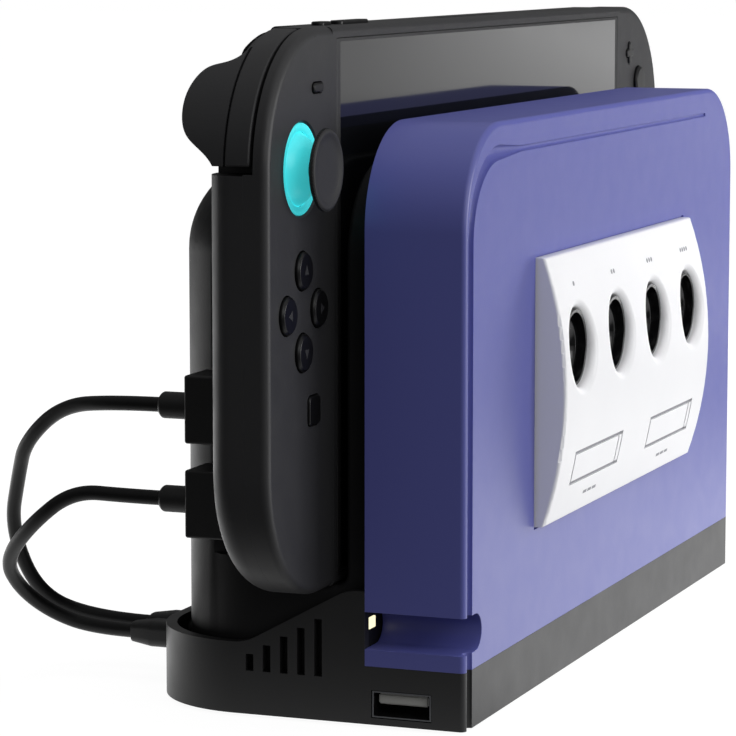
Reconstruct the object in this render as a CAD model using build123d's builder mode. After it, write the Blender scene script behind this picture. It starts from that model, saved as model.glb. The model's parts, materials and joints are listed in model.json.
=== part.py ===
from build123d import *

import os
from math import cos, degrees, radians, sin, sqrt, tan

# Handheld console dock dressed as a small home console
# A front cover with a port panel stands on a base tray. The tray holds a U-shaped dock, a handheld console
# stands in the slot of the dock, and two short leads join the side of the dock to the back of the tray.
# Millimetres: +X to the right as seen from the front, +Y to the back, +Z up. The origin is under the middle
# of the footprint, on the surface that the feet stand on.

os.makedirs("parts", exist_ok=True)

# Dock
dock_inset = 0.7  # side of the dock from the side of the tablet
dock_depth = 48.5
dock_height = 115.0
dock_front_wall = 4.8
dock_wall = 2.2
dock_shoulder = 20.0  # rounding of the upper edges, apart from the front one
dock_rear_corner = 24.0  # radius of the rear corners, seen from above
dock_lip = 1.0  # rounding of the walls of the slot
slot_lift = 26.8  # floor of the slot above the underside of the dock
bay_margin = 31.3  # hollow of the rear housing from the side of the dock
bay_height = 80.0
bay_lift = 9.0
rear_lid_thickness = 2.0
rear_lid_land = 3.0  # ledge around the hollow that the lid lies on
rear_lid_fit = 0.15
rear_vent_count = 9
rear_vent_width = 2.4
rear_vent_height = 26.0
rear_vent_pitch = 5.0

# Console
console_width = 272.0
console_height = 116.0
console_depth = 13.9
grip_width = 35.0
console_gap = 2.6  # room in front of the console and behind it in the slot
tablet_edge = 1.2
tablet_back_edge = 1.4
glass_thickness = 1.2
glass_side = 2.3  # border of the housing beside the glass
glass_top = 2.4  # border above and below the glass
glass_fit = 0.1

# Base tray
foot_height = 0.8
foot_diameter = 12.0
foot_sink = 0.5
foot_fit = 0.1
foot_inset = 16.0
base_floor = 1.4
base_wall = 2.4
base_rear_corner = 24.0
dock_fit = 0.3  # room around the dock in the tray
rear_gap = 2.4  # room behind the dock for the wires of the leads
plinth_height = 12.3
plinth_back_wall = 1.2
shoulder_height = 28.0  # tall part of the side walls
rim_height = 15.3  # wall round the rear
ramp_lead = 4.0
ramp_run = 23.0
ramp_round = 10.0
vent_count = 5
vent_pitch = 3.88
vent_width = 1.75
vent_setback = 10.4  # first vent behind the cover
vent_lift = 9.3
vent_margin = 3.0  # wall left above each vent

# Front cover
cover_depth = 22.0
cover_height = 112.2
cover_wall = 2.4
cover_corner = 22.0
cover_edge = 1.2
groove_radius = 1.6
groove_side = 3.0
groove_top = 6.3
groove_corner = 18.0
groove_stop = 26.0  # end of the groove, from the right side
groove_taper = 14.0  # run past the corner over which the groove narrows
groove_line = 0.65  # radius of the narrow run along the top
groove_line_end = 0.45
channel_height = 7.8
channel_reach = 10.6
channel_lift = 19.8
channel_wall = 2.0

# Port panel
panel_width = 115.0
panel_height = 58.5
panel_lift = 35.5
panel_edge = 2.0
panel_crown = 7.0
panel_round = 0.8
panel_sink = 0.6  # seat of the panel in the cover
panel_gap = 0.5  # dark line round the panel
port_count = 4
port_margin = 13.7  # middle of the outer ports from the side of the panel
port_diameter = 17.2
port_lift = 37.8  # above the lower edge of the panel
port_rim = 1.9
port_sink = 2.0  # rim of each cup below the face of the panel
port_fit = 0.1
cup_wall = 0.8
cup_floor = 1.0
cup_round = 2.4
flap_length = 36.0
flap_height = 7.6
flap_margin = 10.5  # outer end of each flap from the side of the panel
flap_lift = 11.5
flap_notch = 3.0
flap_line = 0.8
flap_engraving = 0.5

# Sockets in the plinth and in the side of the dock
usb_width = 12.3
usb_height = 4.9
usb_shell = 0.4
usb_depth = 14.0
usb_fit = 0.1
usb_recess = 0.2
usb_setback = 13.9
usb_lift = 4.4
usb_tongue_width = 11.0
usb_tongue = 2.2
usb_tongue_rise = 1.0  # middle of the tongue above the middle of the socket
usb_tongue_depth = 9.5
usb_board = 1.2
light_width = 3.4
light_height = 2.4
light_thickness = 1.0
light_rise = 0.2
light_fit = 0.1
light_inset = 2.4  # middle of the light from the side of the dock
light_lift = 20.6
side_socket_setback = 32.4  # middle of the side sockets behind the front of the dock
side_socket_lifts = (64.8, 44.9)
recess_depth = 3.0
recess_margin = 1.0
recess_bottom = 33.0
recess_top = 80.0

# Leads
lead_diameter = 3.2
lead_bend = 0.45  # share of the shorter run that a bend may use
plug_height = 14.4
plug_depth = 11.2
plug_reach = 11.0
plug_round = 0.6
plug_tip = 11.0
plug_tip_fit = 0.25
relief_diameter = 5.7
relief_length = 7.6
relief_bevel = 0.7
boot_width = 6.6
boot_height = 5.8
boot_length = 12.4
boot_grip = 7.4  # straight part outside the wall
boot_round = 1.9
boot_end = 4.4
boot_end_round = 1.4
boot_flange = 1.0
boot_flange_rim = 1.0
boot_fit = 0.1
boot_lift = 9.4
boot_insets = (39.0, 29.0)  # from the left side of the tray

# Inside the dock
board_thickness = 1.6
board_margin = 7.0  # board from the side of the rear hollow
board_height = 34.0
board_lift = 36.0
fan_size = 36.0
fan_depth = 9.0
fan_wall = 1.2
fan_headroom = 3.0  # fan below the top of the rear hollow
fan_hub = 12.0
fan_blades = 7
fan_blade = 1.2
fan_blade_pitch = 28.0
fan_tip_gap = 0.8
fan_axle = 3.0
fan_axle_fit = 0.08
fan_strut = 2.4
connector_width = 8.3
connector_thickness = 2.4
connector_rise = 6.2
connector_fit = 0.3
connector_base_width = 20.0
connector_base_depth = 7.0
connector_base_height = 4.0

# Grips, one at each side of the tablet
grip_corner = 28.0
grip_front_edge = 1.8
grip_back_edge = 6.0
grip_split = 5.2  # front shell's depth
cluster_inset = 18.2  # stick and round keys from the outer edge
upper_cluster = 88.0  # heights above the foot of the console
lower_cluster = 59.2
key_pitch = 8.3
key_diameter = 7.8
key_rise = 1.0
key_depth = 3.0
key_fit = 0.25
key_travel = 0.8
key_clearance = 0.3  # room left under a pressed key
key_edge = 0.5
menu_key_inset = 26.5
menu_key_height = 104.0
menu_key_length = 5.6
menu_key_width = 2.0
menu_key_rise = 0.5
menu_key_edge = 0.25
small_key_size = 6.0
small_key_round = 1.2
small_key_inset = 24.0
small_key_height = 38.5
lower_key_height = 27.5

# Sticks
well_radius = 9.4
well_depth = 9.8
well_chamfer = 0.4
ring_fit = 0.1
ring_sink = 0.25
ring_dish = 0.45
ring_thickness = 0.45
ring_hole = 4.9
pivot_depth = 5.6
dome_radius = 6.3
dome_wall = 0.6
dome_spread = 64.0  # degrees from the axis
gimbal_outer = 7.4
gimbal_inner = 5.0
gimbal_height = 2.0
trunnion_radius = 0.8
trunnion_reach = 10.2
trunnion_fit = 0.08
cross_pin_radius = 0.7
cross_pin_reach = 6.6
hub_radius = 3.4
stem_radius = 2.4
neck_radius = 1.8
neck_rise = 4.1
cap_radius = 8.25
cap_under = 3.6
cap_top = 5.9
cap_dish = 0.7
cap_rim = 1.6  # flat rim round the dish
cap_edge = 1.0
cap_sleeve = 3.4
cap_sleeve_taper = 0.6
cap_sleeve_end = 1.2
cap_fit = 0.1
cap_travel = 0.25

# Shoulder keys and triggers
shoulder_band = 5.4
shoulder_setback = 3.1
shoulder_gap = 0.8  # dark line in front of the shoulder key
shoulder_depth = 9.2  # back of the shoulder key behind the face of the console
trigger_band = 6.2
trigger_pad = 16.0
trigger_fit = 0.3
band_start = 95.0  # upper end of the bands, in degrees round the outer corner from +X
band_end = 177.0
shoulder_travel = 2.0
trigger_travel = 2.5
band_gap = 1.0  # room past the upper end of each band, in degrees
pin_setback = 6.0  # pin from the upper end of the bands, in degrees
pin_drop = 3.0  # middle of the pin below the outer face
trigger_start = 114.0  # upper end of the trigger behind its arm, in degrees as above
trigger_start_gap = 2.0
trigger_arm = 1.2
trigger_arm_recess = 1.1
trigger_drop = 3.6  # start of the trigger's back below the top of the console
trigger_back = [  # points of its back: behind the face of the console, below its top
    (13.3, 6.5),
    (16.4, 7.5),
    (18.6, 10.5),
    (19.3, 15.5),
    (17.8, 20.5),
    (13.9, 24.0),
    (11.3, 27.5),
]
trigger_swell = 6.5  # greatest reach of the trigger behind the console
trigger_pivot_radius = 1.2

# Top of the tablet and its stand
power_inset = 11.0
power_length = 6.0
rocker_inset = 27.0
rocker_length = 17.0
top_key_width = 3.0
top_key_rise = 0.8
top_key_depth = 2.4
top_key_travel = 0.6
top_key_edge = 0.25
rocker_tilt = 2.0
rocker_pin = 0.6
rocker_pin_reach = 3.0
card_flap_inset = 32.0
card_flap_length = 26.0
card_flap_width = 5.4
card_flap_thickness = 1.4
card_flap_fit = 0.3
card_flap_pin = 0.6
card_flap_pin_reach = 2.6
card_slot_width = 3.4
card_slot_depth = 24.0
exhaust_count = 10
exhaust_pitch = 4.4
exhaust_width = 2.4
exhaust_length = 4.0
exhaust_depth = 5.0
stand_margin = 17.0  # stand from the side of the tablet
stand_height = 52.0
stand_bar = 9.0
stand_thickness = 1.6
stand_lift = 6.0
stand_fit = 0.2
stand_round = 5.0

# Heights
base_bottom = foot_height
floor_top = base_bottom + base_floor
plinth_top = base_bottom + plinth_height
shoulder_top = base_bottom + shoulder_height
rim_top = base_bottom + rim_height
cover_top = plinth_top + cover_height
dock_bottom = floor_top
dock_top = dock_bottom + dock_height
console_foot = dock_bottom + slot_lift
console_top = console_foot + console_height
console_middle = (console_foot + console_top) / 2
panel_bottom = base_bottom + panel_lift

# Widths
tablet_width = console_width - 2 * grip_width
tablet_side = tablet_width / 2
dock_width = tablet_width - 2 * dock_inset
dock_left = -dock_width / 2
cover_width = dock_width + 2 * (dock_fit + base_wall)
cover_left = -cover_width / 2
recess_face = dock_left + recess_depth
bay_width = dock_width - 2 * bay_margin
board_width = bay_width - 2 * board_margin
stand_width = tablet_width - 2 * stand_margin
port_pitch = (panel_width - 2 * port_margin) / (port_count - 1)
flap_reach = panel_width / 2 - flap_margin - flap_length / 2  # from the middle of the panel
boot_places = [cover_left + inset for inset in boot_insets]

# Depths
base_depth = cover_depth + dock_fit + dock_depth + rear_gap + base_wall
front_y = (panel_crown - base_depth) / 2
cover_back = front_y + cover_depth
dock_front = cover_back + dock_fit
dock_back = dock_front + dock_depth
base_back = front_y + base_depth
slot_front = dock_front + dock_front_wall
slot_back = slot_front + console_depth + 2 * console_gap
console_front = slot_front + console_gap
console_back = console_front + console_depth
grip_parting = console_front + grip_split
bay_front = slot_back + dock_wall
usb_middle = front_y + usb_setback
side_socket_middle = dock_front + side_socket_setback


def write(piece, name):
    """Label a finished piece and write it as a node."""
    piece.part.label = name
    export_step(piece.part, f"parts/{name}.step")


def upright(y):
    """Plane at depth y whose axes are +X and +Z. Extrusions run to the front, and to the back if negative."""
    return Plane.XZ.offset(-y)


def sideways(x):
    """Plane at x whose axes are +Y and +Z. Extrusions run to the right."""
    return Plane.YZ.offset(x)


def footprint(width, front, back, rear_radius):
    """Outline seen from above, with round rear corners."""
    with BuildSketch() as outline:
        with Locations((0, (front + back) / 2)):
            Rectangle(width, back - front)
        fillet(outline.vertices().group_by(Axis.Y)[-1], rear_radius)
    return outline.sketch


def arch(width, bottom, top, radius):
    """Outline seen from the front, with round upper corners."""
    with BuildSketch() as outline:
        with Locations((0, (bottom + top) / 2)):
            Rectangle(width, top - bottom)
        fillet(outline.vertices().group_by(Axis.Y)[-1], radius)
    return outline.sketch


# Base tray
groove_x = cover_left + groove_side
ramp_front = cover_back + ramp_lead
ramp_slope = (shoulder_top - rim_top) / ramp_run
hollow_depth = cover_depth - base_wall - plinth_back_wall
boot_hole = (boot_width + 2 * boot_fit, boot_height + 2 * boot_fit)
usb_hole = (usb_width + 2 * (usb_shell + usb_fit), usb_height + 2 * (usb_shell + usb_fit))
foot_places = [
    (x, y)
    for x in (cover_left + foot_inset, -cover_left - foot_inset)
    for y in (front_y + foot_inset, base_back - foot_inset)
]

with BuildPart() as base_tray:
    with BuildSketch(Plane.XY.offset(base_bottom)):
        add(footprint(cover_width, front_y, base_back, base_rear_corner))
    extrude(amount=shoulder_height)
    with BuildSketch(sideways(-cover_width)):
        with BuildLine():
            ramp = FilletPolyline(
                (cover_back, shoulder_top),
                (ramp_front, shoulder_top),
                (ramp_front + ramp_run, rim_top),
                (base_back + base_wall, rim_top),
                radius=ramp_round,
            )
            Polyline(
                ramp @ 1,
                (base_back + base_wall, shoulder_top + base_wall),
                (front_y - base_wall, shoulder_top + base_wall),
                (front_y - base_wall, plinth_top),
                (cover_back, plinth_top),
                ramp @ 0,
            )
        make_face()
    extrude(amount=2 * cover_width, mode=Mode.SUBTRACT)
    front_posts = base_tray.edges().filter_by(Axis.Z).group_by(Axis.Y)[0]
    fillet(front_posts, cover_edge)
    with BuildSketch(Plane.XY.offset(floor_top)):
        well_width = cover_width - 2 * base_wall
        add(footprint(well_width, cover_back, base_back - base_wall, base_rear_corner - base_wall))
    extrude(amount=shoulder_height, mode=Mode.SUBTRACT)
    with BuildSketch(Plane.XY.offset(floor_top)):
        with Locations((0, front_y + base_wall + hollow_depth / 2)):
            Rectangle(cover_width - 2 * base_wall, hollow_depth)
    extrude(amount=plinth_height, mode=Mode.SUBTRACT)
    with BuildSketch(sideways(-cover_width)):
        for vent in range(vent_count):
            vent_y = cover_back + vent_setback + vent * vent_pitch
            vent_top = shoulder_top - (vent_y - ramp_front) * ramp_slope - vent_margin
            vent_bottom = base_bottom + vent_lift
            with Locations((vent_y, (vent_bottom + vent_top) / 2)):
                Rectangle(vent_width, vent_top - vent_bottom)
        with Locations((usb_middle, base_bottom + usb_lift)):
            Rectangle(*usb_hole)
    extrude(amount=2 * cover_width, mode=Mode.SUBTRACT)
    with BuildSketch(upright(base_back)):
        with Locations([(x, base_bottom + boot_lift) for x in boot_places]):
            RectangleRounded(*boot_hole, boot_round)
    extrude(amount=base_wall, mode=Mode.SUBTRACT)
    with BuildSketch(Plane.XY.offset(base_bottom)):
        with Locations(foot_places):
            Circle(foot_diameter / 2)
    extrude(amount=foot_sink, mode=Mode.SUBTRACT)
    with BuildSketch(Plane.XY.offset(base_bottom)):
        with Locations((groove_x, front_y)):
            Circle(groove_radius)
    extrude(amount=plinth_height, mode=Mode.SUBTRACT)
write(base_tray, "base_tray")

with BuildPart() as rubber_feet:
    with BuildSketch(Plane.XY):
        with Locations(foot_places):
            Circle(foot_diameter / 2 - foot_fit)
    extrude(amount=foot_height + foot_sink)
write(rubber_feet, "rubber_feet")

# Front cover
panel_middle = panel_bottom + panel_height / 2
panel_top = panel_bottom + panel_height
groove_z = cover_top - groove_top
groove_turn = groove_x + groove_corner  # end of the groove's corner
groove_end = -cover_left - groove_stop

with BuildPart() as front_cover:
    with BuildSketch(upright(front_y)):
        add(arch(cover_width, plinth_top, cover_top, cover_corner))
    extrude(amount=-cover_depth)
    front_rim = front_cover.faces().sort_by(Axis.Y)[0].edges().sort_by(Axis.Z)[1:]
    fillet(front_rim, cover_edge)
    inner_width = cover_width - 2 * cover_wall
    with BuildSketch(upright(cover_back)):
        add(arch(inner_width, plinth_top + cover_wall, cover_top - cover_wall, cover_corner - cover_wall))
    extrude(amount=cover_depth - cover_wall, mode=Mode.SUBTRACT)
    with BuildSketch(upright(cover_back)):
        with Locations((cover_left, base_bottom + channel_lift)):
            SlotOverall(2 * (channel_reach + channel_wall), channel_height + 2 * channel_wall)
        with Locations((0, (plinth_top + cover_top) / 2)):
            Rectangle(inner_width, cover_height, mode=Mode.INTERSECT)
    extrude(amount=cover_depth - cover_wall)
    with BuildSketch(upright(cover_back)):
        with Locations((cover_left, base_bottom + channel_lift)):
            SlotOverall(2 * channel_reach, channel_height)
    extrude(amount=cover_depth, mode=Mode.SUBTRACT)
    with BuildLine(upright(front_y)) as groove:
        rise = Line((groove_x, plinth_top - groove_radius), (groove_x, groove_z - groove_corner))
        TangentArc(rise @ 1, Vector(groove_turn, front_y, groove_z), tangent=rise % 1)
    with BuildSketch(Plane(groove.line @ 0, z_dir=groove.line % 0)):
        Circle(groove_radius)
    sweep(path=groove.line, mode=Mode.SUBTRACT)
    with BuildSketch(upright(front_y)):
        Polygon(
            (groove_turn, groove_z),
            (groove_turn, groove_z + groove_radius),
            (groove_turn + groove_taper, groove_z + groove_line),
            (groove_end, groove_z + groove_line_end),
            (groove_end, groove_z),
            align=None,
        )
    revolve(axis=Axis((0, front_y, groove_z), (1, 0, 0)), mode=Mode.SUBTRACT)
    with BuildSketch(upright(front_y)):
        with Locations((0, panel_middle)):
            Rectangle(panel_width + 2 * panel_gap, panel_height + 2 * panel_gap)
    extrude(amount=-panel_sink, mode=Mode.SUBTRACT)
write(front_cover, "front_cover")

# Port panel
panel_back = front_y + panel_sink
port_places = [((i - (port_count - 1) / 2) * port_pitch, panel_bottom + port_lift) for i in range(port_count)]
flap_places = [(side * flap_reach, panel_bottom + flap_lift) for side in (-1, 1)]


def panel_section():
    """Section of the panel from front to back, bulging towards the front."""
    with BuildSketch() as section:
        with BuildLine():
            bulge = ThreePointArc(
                (front_y - panel_edge, panel_bottom),
                (front_y - panel_crown, panel_middle),
                (front_y - panel_edge, panel_top),
            )
            Polyline(bulge @ 1, (panel_back, panel_top), (panel_back, panel_bottom), bulge @ 0)
        make_face()
    return section.sketch


with BuildPart() as engraving:
    with BuildSketch(sideways(-panel_width / 2)):
        add(panel_section())
    extrude(amount=panel_width)
    with BuildSketch(upright(front_y)):
        with Locations(flap_places):
            Rectangle(flap_length, flap_height)
            Rectangle(flap_length - 2 * flap_line, flap_height - 2 * flap_line, mode=Mode.SUBTRACT)
        for x, z in flap_places:
            with Locations((x + flap_length / 2 - flap_notch, z)):
                Rectangle(flap_line, flap_height)
    extrude(amount=panel_crown, mode=Mode.INTERSECT)
    with BuildSketch(sideways(-panel_width / 2)):
        with Locations((flap_engraving, 0)):
            add(panel_section())
    extrude(amount=panel_width, mode=Mode.SUBTRACT)

with BuildPart() as port_panel:
    with BuildSketch(sideways(-panel_width / 2)):
        add(panel_section())
    extrude(amount=panel_width)
    rim = port_panel.edges().filter_by(lambda edge: edge.center().Y < front_y - panel_edge / 2)
    fillet(rim, panel_round)
    with BuildSketch(upright(panel_back)):
        with Locations(port_places):
            Circle(port_diameter / 2)
    extrude(amount=panel_sink + panel_crown, mode=Mode.SUBTRACT)
    round_faces = port_panel.faces().filter_by(GeomType.CYLINDER)
    bores = round_faces.filter_by(lambda face: face.radius == port_diameter / 2)
    fillet([bore.edges().sort_by(Axis.Y)[0] for bore in bores], port_rim)
    add(engraving.part, mode=Mode.SUBTRACT)
write(port_panel, "port_panel")

bulge_radius = ((panel_height / 2) ** 2 + (panel_crown - panel_edge) ** 2) / (2 * (panel_crown - panel_edge))
port_face = panel_crown - bulge_radius + sqrt(bulge_radius**2 - (port_lift - panel_height / 2) ** 2)
cup_height = panel_sink + port_face - port_sink
cup_radius = port_diameter / 2 - port_fit

with BuildPart() as port_cups:
    with BuildSketch(upright(panel_back)):
        with Locations(port_places):
            Circle(cup_radius)
    extrude(amount=cup_height)
    with BuildSketch(upright(panel_back - cup_floor)):
        with Locations(port_places):
            Circle(cup_radius - cup_wall)
    extrude(amount=cup_height - cup_floor, mode=Mode.SUBTRACT)
    cup_floors = port_cups.faces().filter_by(Axis.Y).group_by(Axis.Y)[1]
    fillet(cup_floors.edges(), cup_round)
write(port_cups, "port_cups")

# Sockets in the plinth
with BuildPart() as usb_shells:
    for side in (-1, 1):
        mouth = side * (cover_width / 2 - usb_recess)
        with BuildSketch(sideways(mouth)):
            with Locations((usb_middle, base_bottom + usb_lift)):
                Rectangle(usb_width + 2 * usb_shell, usb_height + 2 * usb_shell)
                Rectangle(usb_width, usb_height, mode=Mode.SUBTRACT)
        extrude(amount=-side * usb_depth)
        with BuildSketch(sideways(mouth - side * usb_depth)):
            with Locations((usb_middle, base_bottom + usb_lift)):
                Rectangle(usb_width + 2 * usb_shell, usb_height + 2 * usb_shell)
        extrude(amount=-side * usb_shell)
write(usb_shells, "usb_shells")

with BuildPart() as usb_tongues:
    for side in (-1, 1):
        root = side * (cover_width / 2 - usb_recess - usb_depth)
        with BuildSketch(sideways(root)):
            with Locations((usb_middle, base_bottom + usb_lift + usb_tongue_rise)):
                Rectangle(usb_tongue_width, usb_tongue)
        extrude(amount=side * usb_tongue_depth)
write(usb_tongues, "usb_tongues")

with BuildPart() as usb_boards:
    for side in (-1, 1):
        back = side * (cover_width / 2 - usb_recess - usb_depth - usb_shell)
        with BuildSketch(sideways(back)):
            with Locations((usb_middle, (floor_top + plinth_top - base_wall) / 2)):
                Rectangle(usb_tongue_width, plinth_top - base_wall - floor_top)
        extrude(amount=-side * usb_board)
write(usb_boards, "usb_boards")

# Dock
slot_width = slot_back - slot_front
lid_width = bay_width + 2 * rear_lid_land
lid_height = bay_height + 2 * rear_lid_land
bay_middle = dock_bottom + bay_lift + bay_height / 2
fan_lift = bay_lift + bay_height - fan_headroom - fan_size / 2
socket_outer = (usb_height + 2 * usb_shell, usb_width + 2 * usb_shell)
socket_places = [(side_socket_middle, base_bottom + lift) for lift in side_socket_lifts]
light_x = dock_left + light_inset
light_z = base_bottom + light_lift
connector_middle = (console_front + console_back) / 2
connector_pocket = (connector_base_width + 2 * connector_fit, connector_base_depth + 2 * connector_fit)

with BuildPart() as dock_body:
    with BuildSketch(Plane.XY.offset(dock_bottom)):
        add(footprint(dock_width, dock_front, dock_back, dock_rear_corner))
    extrude(amount=dock_height)
    upper_edges = dock_body.faces().sort_by(Axis.Z)[-1].edges().sort_by(Axis.Y)[1:]
    fillet(upper_edges, dock_shoulder)
    with BuildSketch(sideways(dock_left)) as slot:
        with Locations(((slot_front + slot_back) / 2, console_foot + dock_height / 2)):
            Rectangle(slot_width, dock_height)
        fillet(slot.vertices().group_by(Axis.Y)[0], console_gap)
    extrude(amount=dock_width, mode=Mode.SUBTRACT)
    slot_edges = dock_body.edges().filter_by_position(Axis.Y, slot_front, slot_back)
    floor_edges = slot_edges.filter_by(Axis.X).filter_by_position(Axis.Z, 0, dock_top - dock_lip)
    fillet(slot_edges - floor_edges, dock_lip)
    with BuildSketch(upright(dock_back)):
        with Locations((0, bay_middle)):
            Rectangle(bay_width, bay_height)
    extrude(amount=dock_back - bay_front, mode=Mode.SUBTRACT)
    with BuildSketch(upright(dock_back)):
        with Locations((0, bay_middle)):
            Rectangle(lid_width, lid_height)
    extrude(amount=rear_lid_thickness, mode=Mode.SUBTRACT)
    with BuildSketch(sideways(dock_left)):
        with Locations((side_socket_middle, base_bottom + (recess_bottom + recess_top) / 2)):
            Rectangle(plug_depth + 2 * recess_margin, recess_top - recess_bottom)
    extrude(amount=recess_depth, mode=Mode.SUBTRACT)
    with BuildSketch(sideways(recess_face)):
        with Locations(socket_places):
            Rectangle(socket_outer[0] + 2 * usb_fit, socket_outer[1] + 2 * usb_fit)
    extrude(amount=usb_depth, mode=Mode.SUBTRACT)
    with BuildSketch(upright(dock_front)):
        with Locations((light_x, light_z)):
            Rectangle(light_width + 2 * light_fit, light_height + 2 * light_fit)
    extrude(amount=-(light_thickness - light_rise), mode=Mode.SUBTRACT)
    with BuildSketch(Plane.XY.offset(console_foot)):
        with Locations((0, connector_middle)):
            Rectangle(*connector_pocket)
    extrude(amount=-connector_base_height, mode=Mode.SUBTRACT)
write(dock_body, "dock_body")

with BuildPart() as status_light:
    with BuildSketch(upright(dock_front - light_rise)):
        with Locations((light_x, light_z)):
            Rectangle(light_width, light_height)
    extrude(amount=-light_thickness)
write(status_light, "status_light")

with BuildPart() as dock_rear_lid:
    with BuildSketch(upright(dock_back)):
        with Locations((0, bay_middle)):
            Rectangle(lid_width - 2 * rear_lid_fit, lid_height - 2 * rear_lid_fit)
        with Locations((0, dock_bottom + fan_lift)):
            with GridLocations(rear_vent_pitch, rear_vent_height, rear_vent_count, 1):
                SlotOverall(rear_vent_height, rear_vent_width, rotation=90, mode=Mode.SUBTRACT)
    extrude(amount=rear_lid_thickness)
write(dock_rear_lid, "dock_rear_lid")

with BuildPart() as dock_sockets:
    with BuildSketch(sideways(recess_face)):
        with Locations(socket_places):
            Rectangle(*socket_outer)
            Rectangle(usb_height, usb_width, mode=Mode.SUBTRACT)
    extrude(amount=usb_depth - usb_shell)
    with BuildSketch(sideways(recess_face + usb_depth - usb_shell)):
        with Locations(socket_places):
            Rectangle(*socket_outer)
    extrude(amount=usb_shell)
write(dock_sockets, "dock_sockets")

with BuildPart() as dock_connector:
    with BuildSketch(Plane.XY.offset(console_foot - connector_base_height)):
        with Locations((0, connector_middle)):
            Rectangle(connector_base_width, connector_base_depth)
    extrude(amount=connector_base_height)
    with BuildSketch(Plane.XY.offset(console_foot)):
        with Locations((0, connector_middle)):
            SlotOverall(connector_width, connector_thickness)
    extrude(amount=connector_rise)
write(dock_connector, "dock_connector")

with BuildPart() as dock_board:
    with BuildSketch(upright(bay_front)):
        with Locations((0, dock_bottom + board_lift)):
            Rectangle(board_width, board_height)
    extrude(amount=-board_thickness)
write(dock_board, "dock_board")

# Fan in the rear housing
fan_centre = (0, dock_bottom + fan_lift)
fan_back = dock_back - rear_lid_thickness
fan_front = fan_back - fan_depth
bore_radius = fan_size / 2 - fan_wall
rotor_radius = bore_radius - fan_tip_gap
rotor_front = fan_front + fan_strut + fan_tip_gap

with BuildPart() as fan_frame:
    with BuildSketch(upright(fan_back)):
        with Locations(fan_centre):
            Rectangle(fan_size, fan_size)
            Circle(bore_radius, mode=Mode.SUBTRACT)
    extrude(amount=fan_depth)
    with BuildSketch(upright(fan_front)):
        with Locations(fan_centre):
            Rectangle(fan_size, fan_strut)
            Rectangle(fan_strut, fan_size)
            Circle(fan_hub / 2)
    extrude(amount=-fan_strut)
    with BuildSketch(upright(fan_front)):
        with Locations(fan_centre):
            Circle(fan_axle / 2)
    extrude(amount=-(fan_depth - fan_tip_gap))
write(fan_frame, "fan_frame")

with BuildPart() as fan_rotor:
    with BuildSketch(upright(rotor_front)):
        with Locations(fan_centre):
            Circle(fan_hub / 2)
            Circle(fan_axle / 2 + fan_axle_fit, mode=Mode.SUBTRACT)
    rotor_depth = fan_back - fan_tip_gap - rotor_front
    extrude(amount=-rotor_depth)
    blade_middle = (rotor_front + rotor_front + rotor_depth) / 2
    blade_start = fan_hub / 2 - fan_blade
    blade_chord = (rotor_depth - fan_blade) / cos(radians(fan_blade_pitch))
    for blade in range(fan_blades):
        angle = radians(blade * 360 / fan_blades)
        lean = radians(fan_blade_pitch)
        outward = Vector(cos(angle), 0, sin(angle))
        chord_line = Vector(-sin(angle) * sin(lean), cos(lean), cos(angle) * sin(lean))
        foot = Vector(0, blade_middle, fan_centre[1]) + outward * blade_start
        with BuildSketch(Plane(foot, x_dir=chord_line, z_dir=outward)):
            Rectangle(blade_chord, fan_blade)
        extrude(amount=rotor_radius - blade_start - fan_tip_gap)
write(fan_rotor, "fan_rotor")

# Leads
plug_back = side_socket_middle + plug_depth / 2
plug_x = recess_face - plug_reach / 2
boot_z = base_bottom + boot_lift
lead_routes = {
    "upper": [
        (plug_x, plug_back + relief_length, base_bottom + side_socket_lifts[0]),
        (plug_x, 44.0, base_bottom + side_socket_lifts[0]),
        (-97.0, 59.5, 63.5),
        (-93.0, 70.5, 54.5),
        (-86.5, 75.5, 46.0),
        (-79.0, 81.5, 32.5),
        (-72.0, 78.5, 16.5),
        (boot_places[0], 68.0, boot_z),
        (boot_places[0], base_back + boot_length, boot_z),
    ],
    "lower": [
        (plug_x, plug_back + relief_length, base_bottom + side_socket_lifts[1]),
        (plug_x, 42.0, base_bottom + side_socket_lifts[1]),
        (-103.0, 54.5, 46.0),
        (-101.5, 65.0, 38.0),
        (-92.5, 76.0, 28.0),
        (-84.5, 77.0, 20.5),
        (-78.0, 72.5, 14.0),
        (boot_places[1], 64.0, boot_z),
        (boot_places[1], base_back + boot_length, boot_z),
    ],
}


def lead_plug(lift):
    """Angled plug that stands out from the side of the dock, with its strain relief towards the back."""
    z = base_bottom + lift
    with BuildPart() as plug:
        with BuildSketch(sideways(recess_face)):
            with Locations((side_socket_middle, z)):
                Rectangle(plug_depth, plug_height)
        extrude(amount=-plug_reach)
        outer_edges = plug.edges().filter_by(Axis.X) + plug.faces().sort_by(Axis.X)[0].edges()
        fillet(outer_edges, plug_round)
        with BuildSketch(upright(plug_back)):
            with Locations((plug_x, z)):
                Circle(relief_diameter / 2)
        extrude(amount=-relief_length)
        chamfer(plug.faces().sort_by(Axis.Y)[-1].edges(), relief_bevel)
        with BuildSketch(sideways(recess_face)):
            with Locations((side_socket_middle, z)):
                Rectangle(usb_height - 2 * plug_tip_fit, usb_width - 2 * plug_tip_fit)
        extrude(amount=plug_tip)
    return plug


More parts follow.
